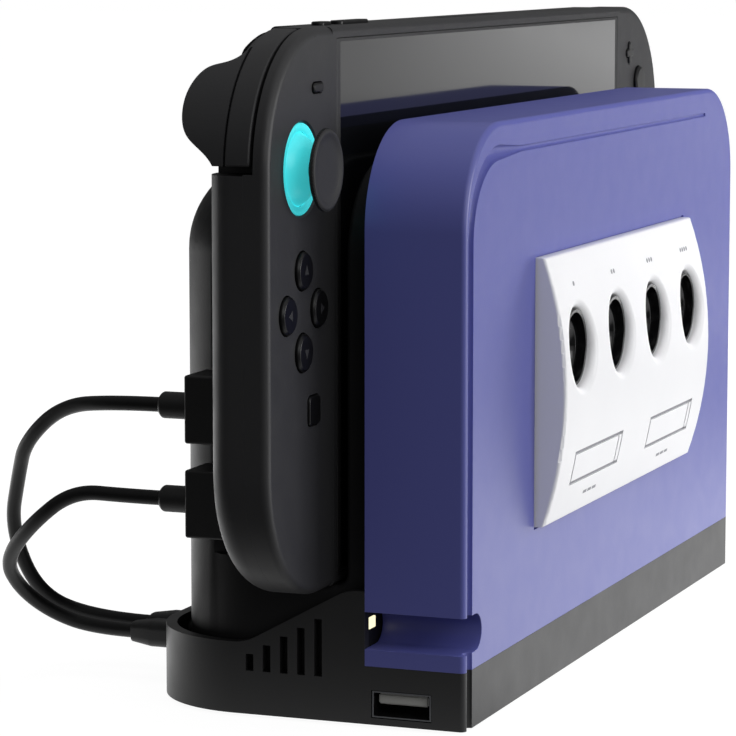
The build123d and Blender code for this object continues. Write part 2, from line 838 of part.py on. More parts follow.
def lead_boot(x):
    """Boot that holds the end of a lead in the rear wall of the tray."""
    flange = (boot_width + 2 * boot_flange_rim, boot_height + 2 * boot_flange_rim)
    with BuildPart() as boot:
        with BuildSketch(upright(base_back - base_wall)):
            with Locations((x, boot_z)):
                RectangleRounded(boot_width, boot_height, boot_round)
        extrude(amount=-(base_wall + boot_grip))
        with BuildSketch(upright(base_back + boot_grip)):
            with Locations((x, boot_z)):
                RectangleRounded(boot_width, boot_height, boot_round)
        with BuildSketch(upright(base_back + boot_length)):
            with Locations((x, boot_z)):
                RectangleRounded(boot_end, boot_end, boot_end_round)
        loft()
        with BuildSketch(upright(base_back - base_wall)):
            with Locations((x, boot_z)):
                RectangleRounded(*flange, boot_round)
        extrude(amount=boot_flange)
    return boot


def bend_radii(points):
    """Largest arc that the two runs at each inner point leave room for."""
    runs = [Vector(b) - Vector(a) for a, b in zip(points, points[1:])]
    radii = []
    for before, after in zip(runs, runs[1:]):
        half_turn = radians(before.get_angle(after)) / 2
        radii.append(lead_bend * min(before.length, after.length) / tan(half_turn))
    return radii


for name, lift, boot_x in zip(lead_routes, side_socket_lifts, boot_places):
    route = lead_routes[name]
    radii = bend_radii(route)
    with BuildPart() as lead:
        with BuildLine() as path:
            FilletPolyline(*route, radius=radii)
        with BuildSketch(Plane(path.line @ 0, z_dir=path.line % 0)):
            Circle(lead_diameter / 2)
        sweep(path=path.line)
    length = path.wires()[0].length
    section = Circle(lead_diameter / 2, mode=Mode.PRIVATE).area
    print(name, "lead: bend radii", [round(radius, 1) for radius in radii])
    fill = lead.part.volume / section / length
    print(name, "lead: length", round(length, 1), "volume over section and length", round(fill, 6))
    write(lead_plug(lift), f"{name}_lead_plug")
    write(lead, f"{name}_lead")
    write(lead_boot(boot_x), f"{name}_lead_boot")

# Tablet
glass_width = tablet_width - 2 * glass_side
glass_height = console_height - 2 * glass_top
tablet_middle = (console_front + console_back) / 2
power_x = -tablet_side + power_inset
rocker_x = -tablet_side + rocker_inset
card_flap_x = tablet_side - card_flap_inset
card_hinge_y = tablet_middle + card_flap_width / 2 - card_flap_thickness / 2
card_hinge_z = console_top - card_flap_thickness / 2
card_pin_half = card_flap_length / 2 + card_flap_pin_reach
rocker_pin_z = console_top - top_key_depth / 2
rocker_swing = rocker_length / 2 * sin(radians(rocker_tilt))


def stand_outline(grow):
    """Outline of the stand on the back of the tablet: two arms and a bar below."""
    inner_width = stand_width - 2 * stand_bar
    with BuildSketch() as outline:
        with Locations((0, console_foot + stand_lift + stand_height / 2)):
            RectangleRounded(stand_width + 2 * grow, stand_height + 2 * grow, stand_round)
        with Locations((0, console_foot + stand_lift + stand_bar + grow + stand_height / 2)):
            Rectangle(inner_width - 2 * grow, stand_height, mode=Mode.SUBTRACT)
    return outline.sketch


with BuildPart() as tablet_housing:
    with BuildSketch(upright(console_front)):
        with Locations((0, console_middle)):
            Rectangle(tablet_width, console_height)
    extrude(amount=-console_depth)
    fillet(tablet_housing.edges().filter_by(Axis.X).group_by(Axis.Y)[0], tablet_edge)
    fillet(tablet_housing.edges().filter_by(Axis.X).group_by(Axis.Y)[-1], tablet_back_edge)
    with BuildSketch(upright(console_front)):
        with Locations((0, console_middle)):
            Rectangle(glass_width + 2 * glass_fit, glass_height + 2 * glass_fit)
    extrude(amount=-glass_thickness, mode=Mode.SUBTRACT)
    with BuildSketch(Plane.XY.offset(console_foot)):
        with Locations((0, tablet_middle)):
            SlotOverall(connector_width + 2 * connector_fit, connector_thickness + 2 * connector_fit)
    extrude(amount=connector_rise + connector_fit, mode=Mode.SUBTRACT)
    with BuildSketch(Plane.XY.offset(console_top)):
        with Locations((power_x, tablet_middle)):
            SlotOverall(power_length + 2 * key_fit, top_key_width + 2 * key_fit)
    extrude(amount=-(top_key_depth + top_key_travel + key_clearance), mode=Mode.SUBTRACT)
    with BuildSketch(Plane.XY.offset(console_top)):
        with Locations((rocker_x, tablet_middle)):
            SlotOverall(rocker_length + 2 * key_fit, top_key_width + 2 * key_fit)
    extrude(amount=-(top_key_depth + rocker_swing + key_clearance), mode=Mode.SUBTRACT)
    with BuildSketch(upright(tablet_middle - rocker_pin_reach - trunnion_fit)):
        with Locations((rocker_x, rocker_pin_z)):
            Circle(rocker_pin + trunnion_fit)
    extrude(amount=-2 * (rocker_pin_reach + trunnion_fit), mode=Mode.SUBTRACT)
    with BuildSketch(Plane.XY.offset(console_top)):
        with Locations((card_flap_x, tablet_middle)):
            Rectangle(card_flap_length + 2 * card_flap_fit, card_flap_width + 2 * card_flap_fit)
    extrude(amount=-(card_flap_thickness + card_flap_fit), mode=Mode.SUBTRACT)
    with BuildSketch(Plane.XY.offset(console_top)):
        with Locations((card_flap_x, tablet_middle)):
            Rectangle(card_flap_length - 2 * card_flap_fit, card_slot_width)
    extrude(amount=-card_slot_depth, mode=Mode.SUBTRACT)
    with BuildSketch(sideways(card_flap_x - card_pin_half - trunnion_fit)):
        with Locations((card_hinge_y, card_hinge_z)):
            Circle(card_flap_pin + trunnion_fit)
    extrude(amount=2 * (card_pin_half + trunnion_fit), mode=Mode.SUBTRACT)
    with BuildSketch(Plane.XY.offset(console_top)):
        with Locations((0, tablet_middle)):
            with GridLocations(exhaust_pitch, exhaust_length, exhaust_count, 1):
                SlotOverall(exhaust_length, exhaust_width, rotation=90)
    extrude(amount=-exhaust_depth, mode=Mode.SUBTRACT)
    with BuildSketch(upright(console_back)):
        add(stand_outline(stand_fit))
    extrude(amount=stand_thickness, mode=Mode.SUBTRACT)
write(tablet_housing, "tablet_housing")

with BuildPart() as screen_glass:
    with BuildSketch(upright(console_front)):
        with Locations((0, console_middle)):
            Rectangle(glass_width, glass_height)
    extrude(amount=-glass_thickness)
write(screen_glass, "screen_glass")

with BuildPart() as tablet_stand:
    with BuildSketch(upright(console_back)):
        add(stand_outline(0))
    extrude(amount=stand_thickness)
write(tablet_stand, "tablet_stand")

with BuildPart() as power_key:
    with BuildSketch(Plane.XY.offset(console_top + top_key_rise)):
        with Locations((power_x, tablet_middle)):
            SlotOverall(power_length, top_key_width)
    extrude(amount=-(top_key_rise + top_key_depth))
    chamfer(power_key.faces().sort_by(Axis.Z)[-1].edges(), top_key_edge)
write(power_key, "power_key")

with BuildPart() as volume_rocker:
    with BuildSketch(Plane.XY.offset(console_top + top_key_rise)):
        with Locations((rocker_x, tablet_middle)):
            SlotOverall(rocker_length, top_key_width)
    extrude(amount=-(top_key_rise + top_key_depth))
    chamfer(volume_rocker.faces().sort_by(Axis.Z)[-1].edges(), top_key_edge)
    with BuildSketch(upright(tablet_middle - rocker_pin_reach)):
        with Locations((rocker_x, rocker_pin_z)):
            Circle(rocker_pin)
    extrude(amount=-2 * rocker_pin_reach)
write(volume_rocker, "volume_rocker")

with BuildPart() as card_flap:
    with BuildSketch(sideways(card_flap_x - card_flap_length / 2)):
        with Locations((card_hinge_y, card_hinge_z)):
            lid_reach = card_flap_width - card_flap_thickness / 2
            Rectangle(lid_reach, card_flap_thickness, align=(Align.MAX, Align.CENTER))
        with Locations((card_hinge_y, card_hinge_z)):
            Circle(card_flap_thickness / 2)
    extrude(amount=card_flap_length)
    with BuildSketch(sideways(card_flap_x - card_pin_half)):
        with Locations((card_hinge_y, card_hinge_z)):
            Circle(card_flap_pin)
    extrude(amount=2 * card_pin_half)
write(card_flap, "card_flap")

# Grips, built for the left hand and mirrored for the right
grip_left = -console_width / 2
corner = (grip_left + grip_corner, console_top - grip_corner)
cluster_x = grip_left + cluster_inset
pin_angle = radians(band_start + pin_setback)
pin_radius = grip_corner - pin_drop
pin_place = (corner[0] + pin_radius * cos(pin_angle), corner[1] + pin_radius * sin(pin_angle))
shoulder_front = console_front + shoulder_setback + shoulder_gap
shoulder_back = console_front + shoulder_depth
trigger_front = shoulder_back + trigger_fit
arm_back = trigger_front + trigger_arm
trigger_reach = 2 * grip_corner * sin(radians(band_end - band_start) / 2)
shoulder_room = trigger_reach * sin(radians(shoulder_travel)) + trigger_fit
trigger_room = trigger_reach * sin(radians(trigger_travel)) + trigger_fit


def corner_band(inner, outer, start, end):
    """Band round the outer upper corner of the left grip, between two radii and two angles."""
    with BuildSketch() as band:
        with BuildLine():
            outer_arc = CenterArc(corner, outer, start, end - start)
            inner_arc = CenterArc(corner, inner, start, end - start)
            Line(outer_arc @ 0, inner_arc @ 0)
            Line(outer_arc @ 1, inner_arc @ 1)
        make_face()
    return band.sketch


def key_outline(shape, grow=0.0):
    """Outline of a key, grown by a clearance for its hole."""
    with BuildSketch() as outline:
        if shape == "round":
            Circle(key_diameter / 2 + grow)
        elif shape == "square":
            RectangleRounded(small_key_size + 2 * grow, small_key_size + 2 * grow, small_key_round + grow)
        else:
            SlotOverall(menu_key_length + 2 * grow, menu_key_width + 2 * grow)
        if shape == "cross":
            SlotOverall(menu_key_length + 2 * grow, menu_key_width + 2 * grow, rotation=90)
    return outline.sketch


def cluster(height):
    """Places of four round keys about a middle point."""
    z = console_foot + height
    return {
        "upper": (cluster_x, z + key_pitch),
        "lower": (cluster_x, z - key_pitch),
        "outer": (cluster_x - key_pitch, z),
        "inner": (cluster_x + key_pitch, z),
    }


def hand_keys(hand):
    """Name, outline and place of every key on the face of one grip, in left-hand places."""
    menu_place = (grip_left + menu_key_inset, console_foot + menu_key_height)
    small_place = (grip_left + small_key_inset, console_foot + small_key_height)
    height = lower_cluster if hand == "left" else upper_cluster
    keys = {f"{hand}_{name}_key": ("round", place) for name, place in cluster(height).items()}
    if hand == "left":
        keys["minus_key"] = ("bar", menu_place)
        keys["capture_key"] = ("square", small_place)
    else:
        keys["plus_key"] = ("cross", menu_place)
        keys["home_key"] = ("round", small_place)
        keys["chat_key"] = ("square", (small_place[0], console_foot + lower_key_height))
    return keys


def face_mirror(hand):
    """Mirror the piece being built to the right-hand side."""
    if hand == "right":
        mirror(about=Plane.YZ, mode=Mode.REPLACE)


def stick_plane(height):
    """Plane through the axis of a stick: distance from the axis, and rise in front of the face."""
    return Plane((cluster_x, console_front, console_foot + height), x_dir=(1, 0, 0), z_dir=(0, 0, -1))


def stick_axis(height):
    """Axis of a stick, pointing to the front."""
    return Axis((cluster_x, console_front, console_foot + height), (0, -1, 0))


def grip_shell(hand, front):
    """Front or back shell of a grip."""
    stick_height = upper_cluster if hand == "left" else lower_cluster
    stick_place = (cluster_x, console_foot + stick_height)
    outside = grip_corner + grip_front_edge
    with BuildPart() as shell:
        with BuildSketch(upright(console_front)) as outline:
            with Locations((-tablet_side - grip_width / 2, console_middle)):
                Rectangle(grip_width, console_height)
            fillet(outline.vertices().group_by(Axis.X)[0], grip_corner)
        extrude(amount=-console_depth)
        fillet(shell.faces().sort_by(Axis.Y)[0].edges().sort_by(Axis.X)[:-1], grip_front_edge)
        fillet(shell.faces().sort_by(Axis.Y)[-1].edges().sort_by(Axis.X)[:-1], grip_back_edge)
        split(bisect_by=upright(grip_parting), keep=Keep.TOP if front else Keep.BOTTOM)
        with BuildSketch(upright(console_front)):
            with Locations(stick_place):
                Circle(well_radius)
        extrude(amount=-well_depth, mode=Mode.SUBTRACT)
        if front:
            circles = shell.edges().filter_by(GeomType.CIRCLE)
            well_edges = circles.filter_by(lambda edge: edge.radius == well_radius)
            chamfer(well_edges.sort_by(Axis.Y)[0], well_chamfer)
        with BuildSketch(sideways(cluster_x - trunnion_reach - trunnion_fit)):
            with Locations((console_front + pivot_depth, stick_place[1])):
                Circle(trunnion_radius + trunnion_fit)
        extrude(amount=2 * (trunnion_reach + trunnion_fit), mode=Mode.SUBTRACT)
        if front:
            for shape, place in hand_keys(hand).values():
                with BuildSketch(upright(console_front)):
                    with Locations(place):
                        add(key_outline(shape, key_fit))
                extrude(amount=-(key_depth + key_travel + key_clearance), mode=Mode.SUBTRACT)
            with BuildSketch(upright(console_front + shoulder_setback)):
                inner = grip_corner - shoulder_band - shoulder_room
                end = band_end + degrees(shoulder_room / grip_corner)
                add(corner_band(inner, outside, band_start - band_gap, end))
            extrude(amount=-grip_split, mode=Mode.SUBTRACT)
            with BuildSketch(upright(console_front + shoulder_setback)):
                with Locations(pin_place):
                    Circle(trigger_pivot_radius)
            extrude(amount=-(arm_back - console_front - shoulder_setback))
        else:
            inner = grip_corner - trigger_band - trigger_room
            end = band_end + degrees(trigger_room / grip_corner)
            with BuildSketch(upright(grip_parting)):
                add(corner_band(inner, outside, band_start - band_gap, end))
            extrude(amount=-(arm_back + trigger_fit - grip_parting), mode=Mode.SUBTRACT)
            with BuildSketch(upright(grip_parting)):
                add(corner_band(inner, outside, trigger_start - trigger_start_gap, end))
            extrude(amount=-console_depth, mode=Mode.SUBTRACT)
        face_mirror(hand)
    return shell


def shoulder_key(hand):
    """Curved key along the outer upper corner of a grip."""
    with BuildPart() as key:
        with BuildSketch(upright(shoulder_front)):
            add(corner_band(grip_corner - shoulder_band, grip_corner, band_start, band_end))
            with Locations(pin_place):
                Circle(trigger_pivot_radius + trunnion_fit, mode=Mode.SUBTRACT)
        extrude(amount=-(shoulder_back - shoulder_front))
        face_mirror(hand)
    return key


def trigger(hand):
    """Trigger behind the shoulder key: an arm on the pin, and a pad that bulges behind the grip."""
    inner = grip_corner - trigger_band
    foot = corner[1] - grip_corner
    rear = console_back + trigger_swell
    with BuildPart() as lever:
        with BuildSketch(upright(trigger_front)):
            add(corner_band(inner, grip_corner, trigger_start, band_end))
        extrude(amount=-(rear - trigger_front))
        with BuildSketch(upright(console_back + trigger_fit)):
            add(corner_band(grip_corner - trigger_pad, grip_corner, trigger_start, band_end))
        extrude(amount=-(trigger_swell - trigger_fit))
        with BuildSketch(sideways(grip_left - grip_front_edge)):
            with BuildLine():
                ridge = Spline(
                    (trigger_front, console_top - trigger_drop),
                    *[(console_front + depth, console_top - drop) for depth, drop in trigger_back],
                )
                Polyline(ridge @ 1, ((ridge @ 1).X, foot), (trigger_front, foot), ridge @ 0)
            make_face()
        extrude(amount=grip_width + grip_front_edge, mode=Mode.INTERSECT)
        with BuildSketch(upright(trigger_front)):
            add(corner_band(inner, grip_corner - trigger_arm_recess, band_start, band_end))
            with Locations(pin_place):
                Circle(trigger_pivot_radius + trunnion_fit, mode=Mode.SUBTRACT)
        extrude(amount=-trigger_arm)
        face_mirror(hand)
    return lever


def face_key(hand, shape, place):
    """Key in the face of a grip."""
    rise, edge = (key_rise, key_edge) if shape == "round" else (menu_key_rise, menu_key_edge)
    with BuildPart() as key:
        with BuildSketch(upright(console_front - rise)):
            with Locations(place):
                add(key_outline(shape))
        extrude(amount=-(rise + key_depth))
        chamfer(key.faces().sort_by(Axis.Y)[0].edges(), edge)
        face_mirror(hand)
    return key


def stick_ring(hand, height):
    """Coloured dished ring round the stem of a stick."""
    outer = well_radius - ring_fit
    with BuildPart() as ring:
        with BuildSketch(stick_plane(height)):
            Polygon(
                (outer, -ring_sink),
                (ring_hole, -ring_sink - ring_dish),
                (ring_hole, -ring_sink - ring_dish - ring_thickness),
                (outer, -ring_sink - ring_thickness),
                align=None,
            )
        revolve(axis=stick_axis(height))
        face_mirror(hand)
    return ring


def stick_dome(hand, height):
    """Coloured dome on the stem that closes the hole of the ring."""
    centre = (0, -pivot_depth)
    with BuildPart() as dome:
        with BuildSketch(stick_plane(height)):
            with BuildLine():
                outer = CenterArc(centre, dome_radius, 90 - dome_spread, dome_spread)
                inner = CenterArc(centre, dome_radius - dome_wall, 90 - dome_spread, dome_spread)
                Line(outer @ 0, inner @ 0)
                Line(outer @ 1, inner @ 1)
            make_face()
            with Locations(centre):
                Rectangle(stem_radius, 2 * dome_radius, align=(Align.MIN, Align.MIN), mode=Mode.SUBTRACT)
        revolve(axis=stick_axis(height))
        face_mirror(hand)
    return dome


def stick_gimbal(hand, height):
    """Ring that rocks on two trunnions in the grip and carries the stem's cross pin."""
    pivot = (cluster_x, console_front + pivot_depth, console_foot + height)
    with BuildPart() as gimbal:
        with BuildSketch(upright(pivot[1] - gimbal_height / 2)):
            with Locations((pivot[0], pivot[2])):
                Circle(gimbal_outer)
        extrude(amount=-gimbal_height)
        with BuildSketch(sideways(cluster_x - trunnion_reach)):
            with Locations((pivot[1], pivot[2])):
                Circle(trunnion_radius)
        extrude(amount=2 * trunnion_reach)
        with BuildSketch(upright(pivot[1] - gimbal_height)):
            with Locations((pivot[0], pivot[2])):
                Circle(gimbal_inner)
        extrude(amount=-2 * gimbal_height, mode=Mode.SUBTRACT)
        with BuildSketch(Plane.XY.offset(pivot[2] - gimbal_outer)):
            with Locations((pivot[0], pivot[1])):
                Circle(cross_pin_radius + trunnion_fit)
        extrude(amount=2 * gimbal_outer, mode=Mode.SUBTRACT)
        face_mirror(hand)
    return gimbal


def stick_stem(hand, height):
    """Stem of a stick, with its ball and cross pin."""
    pivot = (cluster_x, console_front + pivot_depth, console_foot + height)
    with BuildPart() as stem:
        with Locations(pivot):
            Sphere(hub_radius)
        with BuildSketch(stick_plane(height)):
            Polygon(
                (0, -pivot_depth),
                (stem_radius, -pivot_depth),
                (stem_radius, cap_sleeve_end - cap_travel - cap_fit),
                (neck_radius, cap_sleeve_end - cap_travel - cap_fit),
                (neck_radius, neck_rise),
                (0, neck_rise),
                align=None,
            )
        revolve(axis=stick_axis(height))
        with BuildSketch(Plane.XY.offset(pivot[2] - cross_pin_reach)):
            with Locations((pivot[0], pivot[1])):
                Circle(cross_pin_radius)
        extrude(amount=2 * cross_pin_reach)
        face_mirror(hand)
    return stem


def stick_cap(hand, height):
    """Cap on the neck of the stem, dished for the thumb."""
    bore = neck_radius + cap_fit
    with BuildPart() as cap:
        with BuildSketch(stick_plane(height)) as section:
            with BuildLine():
                dish = TangentArc((0, cap_top - cap_dish), (cap_radius - cap_rim, cap_top), tangent=(1, 0))
                Polyline(
                    dish @ 1,
                    (cap_radius, cap_top),
                    (cap_radius, cap_under),
                    (cap_sleeve, cap_under),
                    (cap_sleeve - cap_sleeve_taper, cap_sleeve_end),
                    (bore, cap_sleeve_end),
                    (bore, neck_rise + cap_travel + cap_fit),
                    (0, neck_rise + cap_travel + cap_fit),
                    dish @ 0,
                )
            make_face()
            fillet(section.vertices().group_by(Axis.X)[-1], cap_edge)
        revolve(axis=stick_axis(height))
        face_mirror(hand)
    return cap


for hand in ("left", "right"):
    stick_height = upper_cluster if hand == "left" else lower_cluster
    write(grip_shell(hand, True), f"{hand}_grip_front")
    write(grip_shell(hand, False), f"{hand}_grip_back")
    write(shoulder_key(hand), f"{hand}_shoulder_key")
    write(trigger(hand), f"{hand}_trigger")
    write(stick_ring(hand, stick_height), f"{hand}_stick_ring")
    write(stick_dome(hand, stick_height), f"{hand}_stick_dome")
    write(stick_gimbal(hand, stick_height), f"{hand}_stick_gimbal")
    write(stick_stem(hand, stick_height), f"{hand}_stick_stem")
    write(stick_cap(hand, stick_height), f"{hand}_stick_cap")
    for name, (shape, place) in hand_keys(hand).items():
        write(face_key(hand, shape, place), name)
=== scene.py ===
# %% [markdown]
# # A handheld console dock
# The dock is a tray with a moulded front cover, a U-shaped charging dock behind it, and a handheld console
# standing in the slot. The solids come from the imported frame, already at their real size and place, so this
# lesson only dresses them: it rounds their edges, lays the two short leads, adds the small fittings and
# marks, and gives every surface its material. One Blender unit is one metre. Sizes in the script are in
# millimetres, and those of the studio, the camera and the lamps in metres.

import json
from math import cos, pi, radians, sin

import bmesh
import bpy
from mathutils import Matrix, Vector
from mathutils.bvhtree import BVHTree


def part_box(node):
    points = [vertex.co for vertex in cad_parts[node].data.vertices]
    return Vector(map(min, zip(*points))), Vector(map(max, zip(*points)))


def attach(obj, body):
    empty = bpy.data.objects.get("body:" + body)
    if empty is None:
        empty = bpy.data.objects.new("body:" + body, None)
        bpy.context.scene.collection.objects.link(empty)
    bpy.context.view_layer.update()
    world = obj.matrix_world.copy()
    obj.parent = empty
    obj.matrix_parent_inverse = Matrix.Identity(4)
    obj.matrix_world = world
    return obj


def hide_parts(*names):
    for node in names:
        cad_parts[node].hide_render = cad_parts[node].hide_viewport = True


MM = 0.001  # metres in a millimetre

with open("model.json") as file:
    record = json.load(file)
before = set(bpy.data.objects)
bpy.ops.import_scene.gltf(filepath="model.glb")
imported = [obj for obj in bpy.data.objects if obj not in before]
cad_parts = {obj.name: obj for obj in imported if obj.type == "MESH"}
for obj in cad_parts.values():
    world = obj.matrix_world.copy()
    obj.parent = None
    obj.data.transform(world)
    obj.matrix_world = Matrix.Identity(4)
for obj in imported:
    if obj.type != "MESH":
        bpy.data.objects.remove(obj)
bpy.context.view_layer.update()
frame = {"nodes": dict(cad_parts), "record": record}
nodes = frame["nodes"]
record = frame["record"]
body_of_node = {name: body for body, names in record["behaviour"]["bodies"].items() for name in names}

# %% [markdown]
# ## Camera
# A product shot like this is taken from a few steps away with a long lens, so that upright edges stay
# parallel. The place and the two angles were fitted to edges of known size, and the lens to the frame's
# width.

# %% Camera
camera_place = (-0.7514, -0.2621, 0.1636)
camera_pitch = 7.23  # degrees below level
camera_turn = -68.99  # degrees from looking along +Y
camera_lens = 167.0  # millimetres
sensor_width = 36.0  # millimetres
nearest_seen = 0.01

camera = bpy.data.objects.new("camera", bpy.data.cameras.new("camera"))
camera.data.sensor_width = sensor_width
camera.data.lens = camera_lens
camera.data.clip_start = nearest_seen
camera.location = camera_place
camera.rotation_euler = (radians(90 - camera_pitch), 0, radians(camera_turn))
bpy.context.scene.collection.objects.link(camera)
bpy.context.scene.camera = camera
print("camera", camera.data.lens, "mm lens at", camera_place)

# %% [markdown]
# ## Helpers for materials
# Colours are picked as sRGB hex values, as a colour chart gives them, while shaders work with linear light.
# One function turns the first into the second. A second one adds a node, sets its options and fills its
# sockets, either with a plain value or with a link from another node. A texture's scale is how many of its
# features fit in a metre, so the last helper works it out from a real size.


# %% Helpers for materials
def colour(code):
    """Linear RGBA of an sRGB hex value."""
    channels = [int(code[i : i + 2], 16) / 255 for i in (1, 3, 5)]
    linear = [c / 12.92 if c <= 0.04045 else ((c + 0.055) / 1.055) ** 2.4 for c in channels]
    return (*linear, 1.0)


def add(tree, kind, sockets=None, **options):
    """Add a node to a tree, with its options and its sockets' values or links."""
    made = tree.nodes.new(kind)
    for option, value in options.items():
        setattr(made, option, value)
    for name, value in (sockets or {}).items():
        if isinstance(value, bpy.types.NodeSocket):
            tree.links.new(value, made.inputs[name])
        else:
            made.inputs[name].default_value = value
    return made


def blank_material(name):
    """A material with an empty node tree and its output."""
    material = bpy.data.materials.new(name)
    material.use_nodes = True
    material.node_tree.nodes.clear()
    return material, material.node_tree, add(material.node_tree, "ShaderNodeOutputMaterial")


def per_mm(size):
    """Scale of a texture on Object coordinates whose features are this wide."""
    return 1 / (size * MM)


print("middle grey in linear light", round(colour("#808080")[0], 3))

# %% [markdown]
# ## Moulded plastic
# Most of the object is injection-moulded ABS. The steel mould is spark-eroded, so the surface has a fine
# grit of about 0.3 mm that breaks up reflections, with faint flow marks a few centimetres long where the
# melt ran. A smooth single colour would look like paint, so the grit goes into the bump, the flow marks
# into the colour, and the handling marks into the roughness. The grit is drawn a little coarser than the
# real one, so that it still shows in a picture of the whole object.

# %% Moulded plastic
flow_mark = 38
handling_mark = 6


def moulded_plastic(name, base, shade, roughness, grit=0.45, depth=0.02, specular=0.5, wear=0.03, glow=0.0):
    """Plastic of two close colours: grit and depth are its texture, and wear is how uneven its gloss is.

    Glow is the strength of a painted glow, light of its own colour that the plastic gives off without a lamp.
    """
    material, tree, output = blank_material(name)
    place = add(tree, "ShaderNodeTexCoord").outputs["Object"]
    flow = add(tree, "ShaderNodeTexNoise", {"Vector": place, "Scale": per_mm(flow_mark), "Detail": 3.0})
    tint = add(tree, "ShaderNodeMix", {
        "Factor": flow.outputs["Fac"], "A": colour(base), "B": colour(shade)}, data_type="RGBA")
    handled = add(tree, "ShaderNodeTexNoise", {
        "Vector": place, "Scale": per_mm(handling_mark), "Detail": 4.0})
    gloss = add(tree, "ShaderNodeMapRange", {
        "Value": handled.outputs["Fac"], "From Min": 0.3, "From Max": 0.7,
        "To Min": roughness - wear, "To Max": roughness + wear})
    grain = add(tree, "ShaderNodeTexNoise", {"Vector": place, "Scale": per_mm(grit), "Detail": 2.0})
    relief = add(tree, "ShaderNodeBump", {
        "Height": grain.outputs["Fac"], "Distance": depth * MM, "Strength": 0.6})
    shader = add(tree, "ShaderNodeBsdfPrincipled", {
        "Base Color": tint.outputs["Result"], "Roughness": gloss.outputs["Result"],
        "Normal": relief.outputs["Normal"], "IOR": 1.5, "Specular IOR Level": specular,
        "Emission Color": tint.outputs["Result"], "Emission Strength": glow})
    tree.links.new(shader.outputs["BSDF"], output.inputs["Surface"])
    return material


print("flow marks repeat", round(per_mm(flow_mark)), "times in a metre")

# %% [markdown]
# ## The plastics of the object
# One function makes every plastic, because they differ only in colour, gloss, grit and painted glow. The
# cover, the panel and the tray are satin, the dock and the grips are duller, and the keys and the ports are
# polished. The two rings of the sticks, teal and coral, have a painted glow: they give off light of their
# own colour, though no lamp is in them, so that they look brighter than any plain plastic beside them.

# %% The plastics of the object
# From a finely eroded mould: a broad, even sheen over the blue.
cover_abs = moulded_plastic("moulded_abs_blue", "#595DA4", "#575BA2", roughness=0.35, wear=0.02)
# The same mould finish in white, which shows its shape by shade and hardly by gloss.
panel_abs = moulded_plastic("moulded_abs_white", "#F1F1F3", "#E9E9EC", roughness=0.38)
# Dyed through in black, with a soft grey sheen where the paper is mirrored in it.
tray_abs = moulded_plastic(
    "moulded_abs_black", "#1D1D1E", "#1A1A1B", roughness=0.42, specular=0.4, wear=0.02)
# From a coarsely eroded mould, which leaves hardly any gloss.
dock_abs = moulded_plastic(
    "spark_eroded_abs_black", "#1C1C1D", "#19191A", roughness=0.46, grit=0.6, depth=0.03, specular=0.12)
# Lacquered to feel soft: a dark grey with wide, dim highlights.
grip_abs = moulded_plastic("soft_touch_abs_black", "#2C2C2D", "#28282A", roughness=0.46, specular=0.35)
# From a polished mould: nearly black, with a narrow highlight on each rim.
key_abs = moulded_plastic(
    "moulded_key_black", "#0F0F10", "#0C0C0D", roughness=0.3, grit=0.8, depth=0.01, specular=0.25)
# Full of short glass fibres, which leave it dull.
socket_nylon = moulded_plastic("glass_filled_nylon_black", "#2A2A2C", "#252527", roughness=0.5, grit=0.3)
# The same without a dye: a pale, dull grey.
tongue_nylon = moulded_plastic("glass_filled_nylon_grey", "#B4B4B0", "#A9A9A5", roughness=0.5, grit=0.3)
# Teal, with a painted glow: it gives off light of its own colour, so that it seems lit.
ring_teal = moulded_plastic("teal_abs_painted_glow", "#46D8DE", "#40D0D6", roughness=0.35, glow=0.56)
# The same painted glow in coral, a colour that tells the right hand from the left.
ring_coral = moulded_plastic("coral_abs_painted_glow", "#EE6457", "#E65C50", roughness=0.35, glow=0.56)
# From a mirror-polished mould: black and shiny, so the inside of a port shows a sharp glint.
port_abs = moulded_plastic(
    "polished_abs_black", "#0B0B0C", "#0E0E10", roughness=0.12, grit=2.0, depth=0.003)
print("plastics", [m.name for m in bpy.data.materials])

# %% [markdown]
# ## Rubber
# The feet, the caps of the sticks and the leads are rubber or soft PVC. It is nearly black and rough, with
# a speckle from its filler. A cell pattern gives round specks, which noise doesn't, so it drives both the
# colour and the bump.


# %% Rubber
def rubber(name, base, shade, roughness, grit, depth, specular=0.35):
    """Moulded rubber or PVC, with a coarse grit of this width and depth."""
    material, tree, output = blank_material(name)
    place = add(tree, "ShaderNodeTexCoord").outputs["Object"]
    speck = add(tree, "ShaderNodeTexVoronoi", {"Vector": place, "Scale": per_mm(grit)})
    tint = add(tree, "ShaderNodeMix", {
        "Factor": speck.outputs["Distance"], "A": colour(base), "B": colour(shade)}, data_type="RGBA")
    relief = add(tree, "ShaderNodeBump", {
        "Height": speck.outputs["Distance"], "Distance": depth * MM, "Strength": 0.5})
    shader = add(tree, "ShaderNodeBsdfPrincipled", {
        "Base Color": tint.outputs["Result"], "Roughness": roughness, "Normal": relief.outputs["Normal"],
        "IOR": 1.52, "Specular IOR Level": specular})
    tree.links.new(shader.outputs["BSDF"], output.inputs["Surface"])
    return material


# Cast silicone: dull, with no clear highlight.
foot_rubber = rubber("silicone_rubber_black", "#161616", "#1D1D1D", roughness=0.75, grit=0.5, depth=0.03)
# Moulded over a hard core: a worn dark grey.
cap_rubber = rubber(
    "thermoplastic_rubber_grey", "#262627", "#202022", roughness=0.6, grit=0.45, depth=0.03)
# Extruded: smooth along the lead, with one dim line of light.
lead_pvc = rubber(
    "pvc_jacket_black", "#0D0D0E", "#121213", roughness=0.46, grit=0.9, depth=0.01, specular=0.2)
# Moulded round the connector: a little rougher than the jacket.
plug_pvc = rubber("moulded_pvc_black", "#121213", "#161617", roughness=0.5, grit=0.5, depth=0.02)
print("rubbers", [m.name for m in (foot_rubber, cap_rubber, lead_pvc, plug_pvc)])

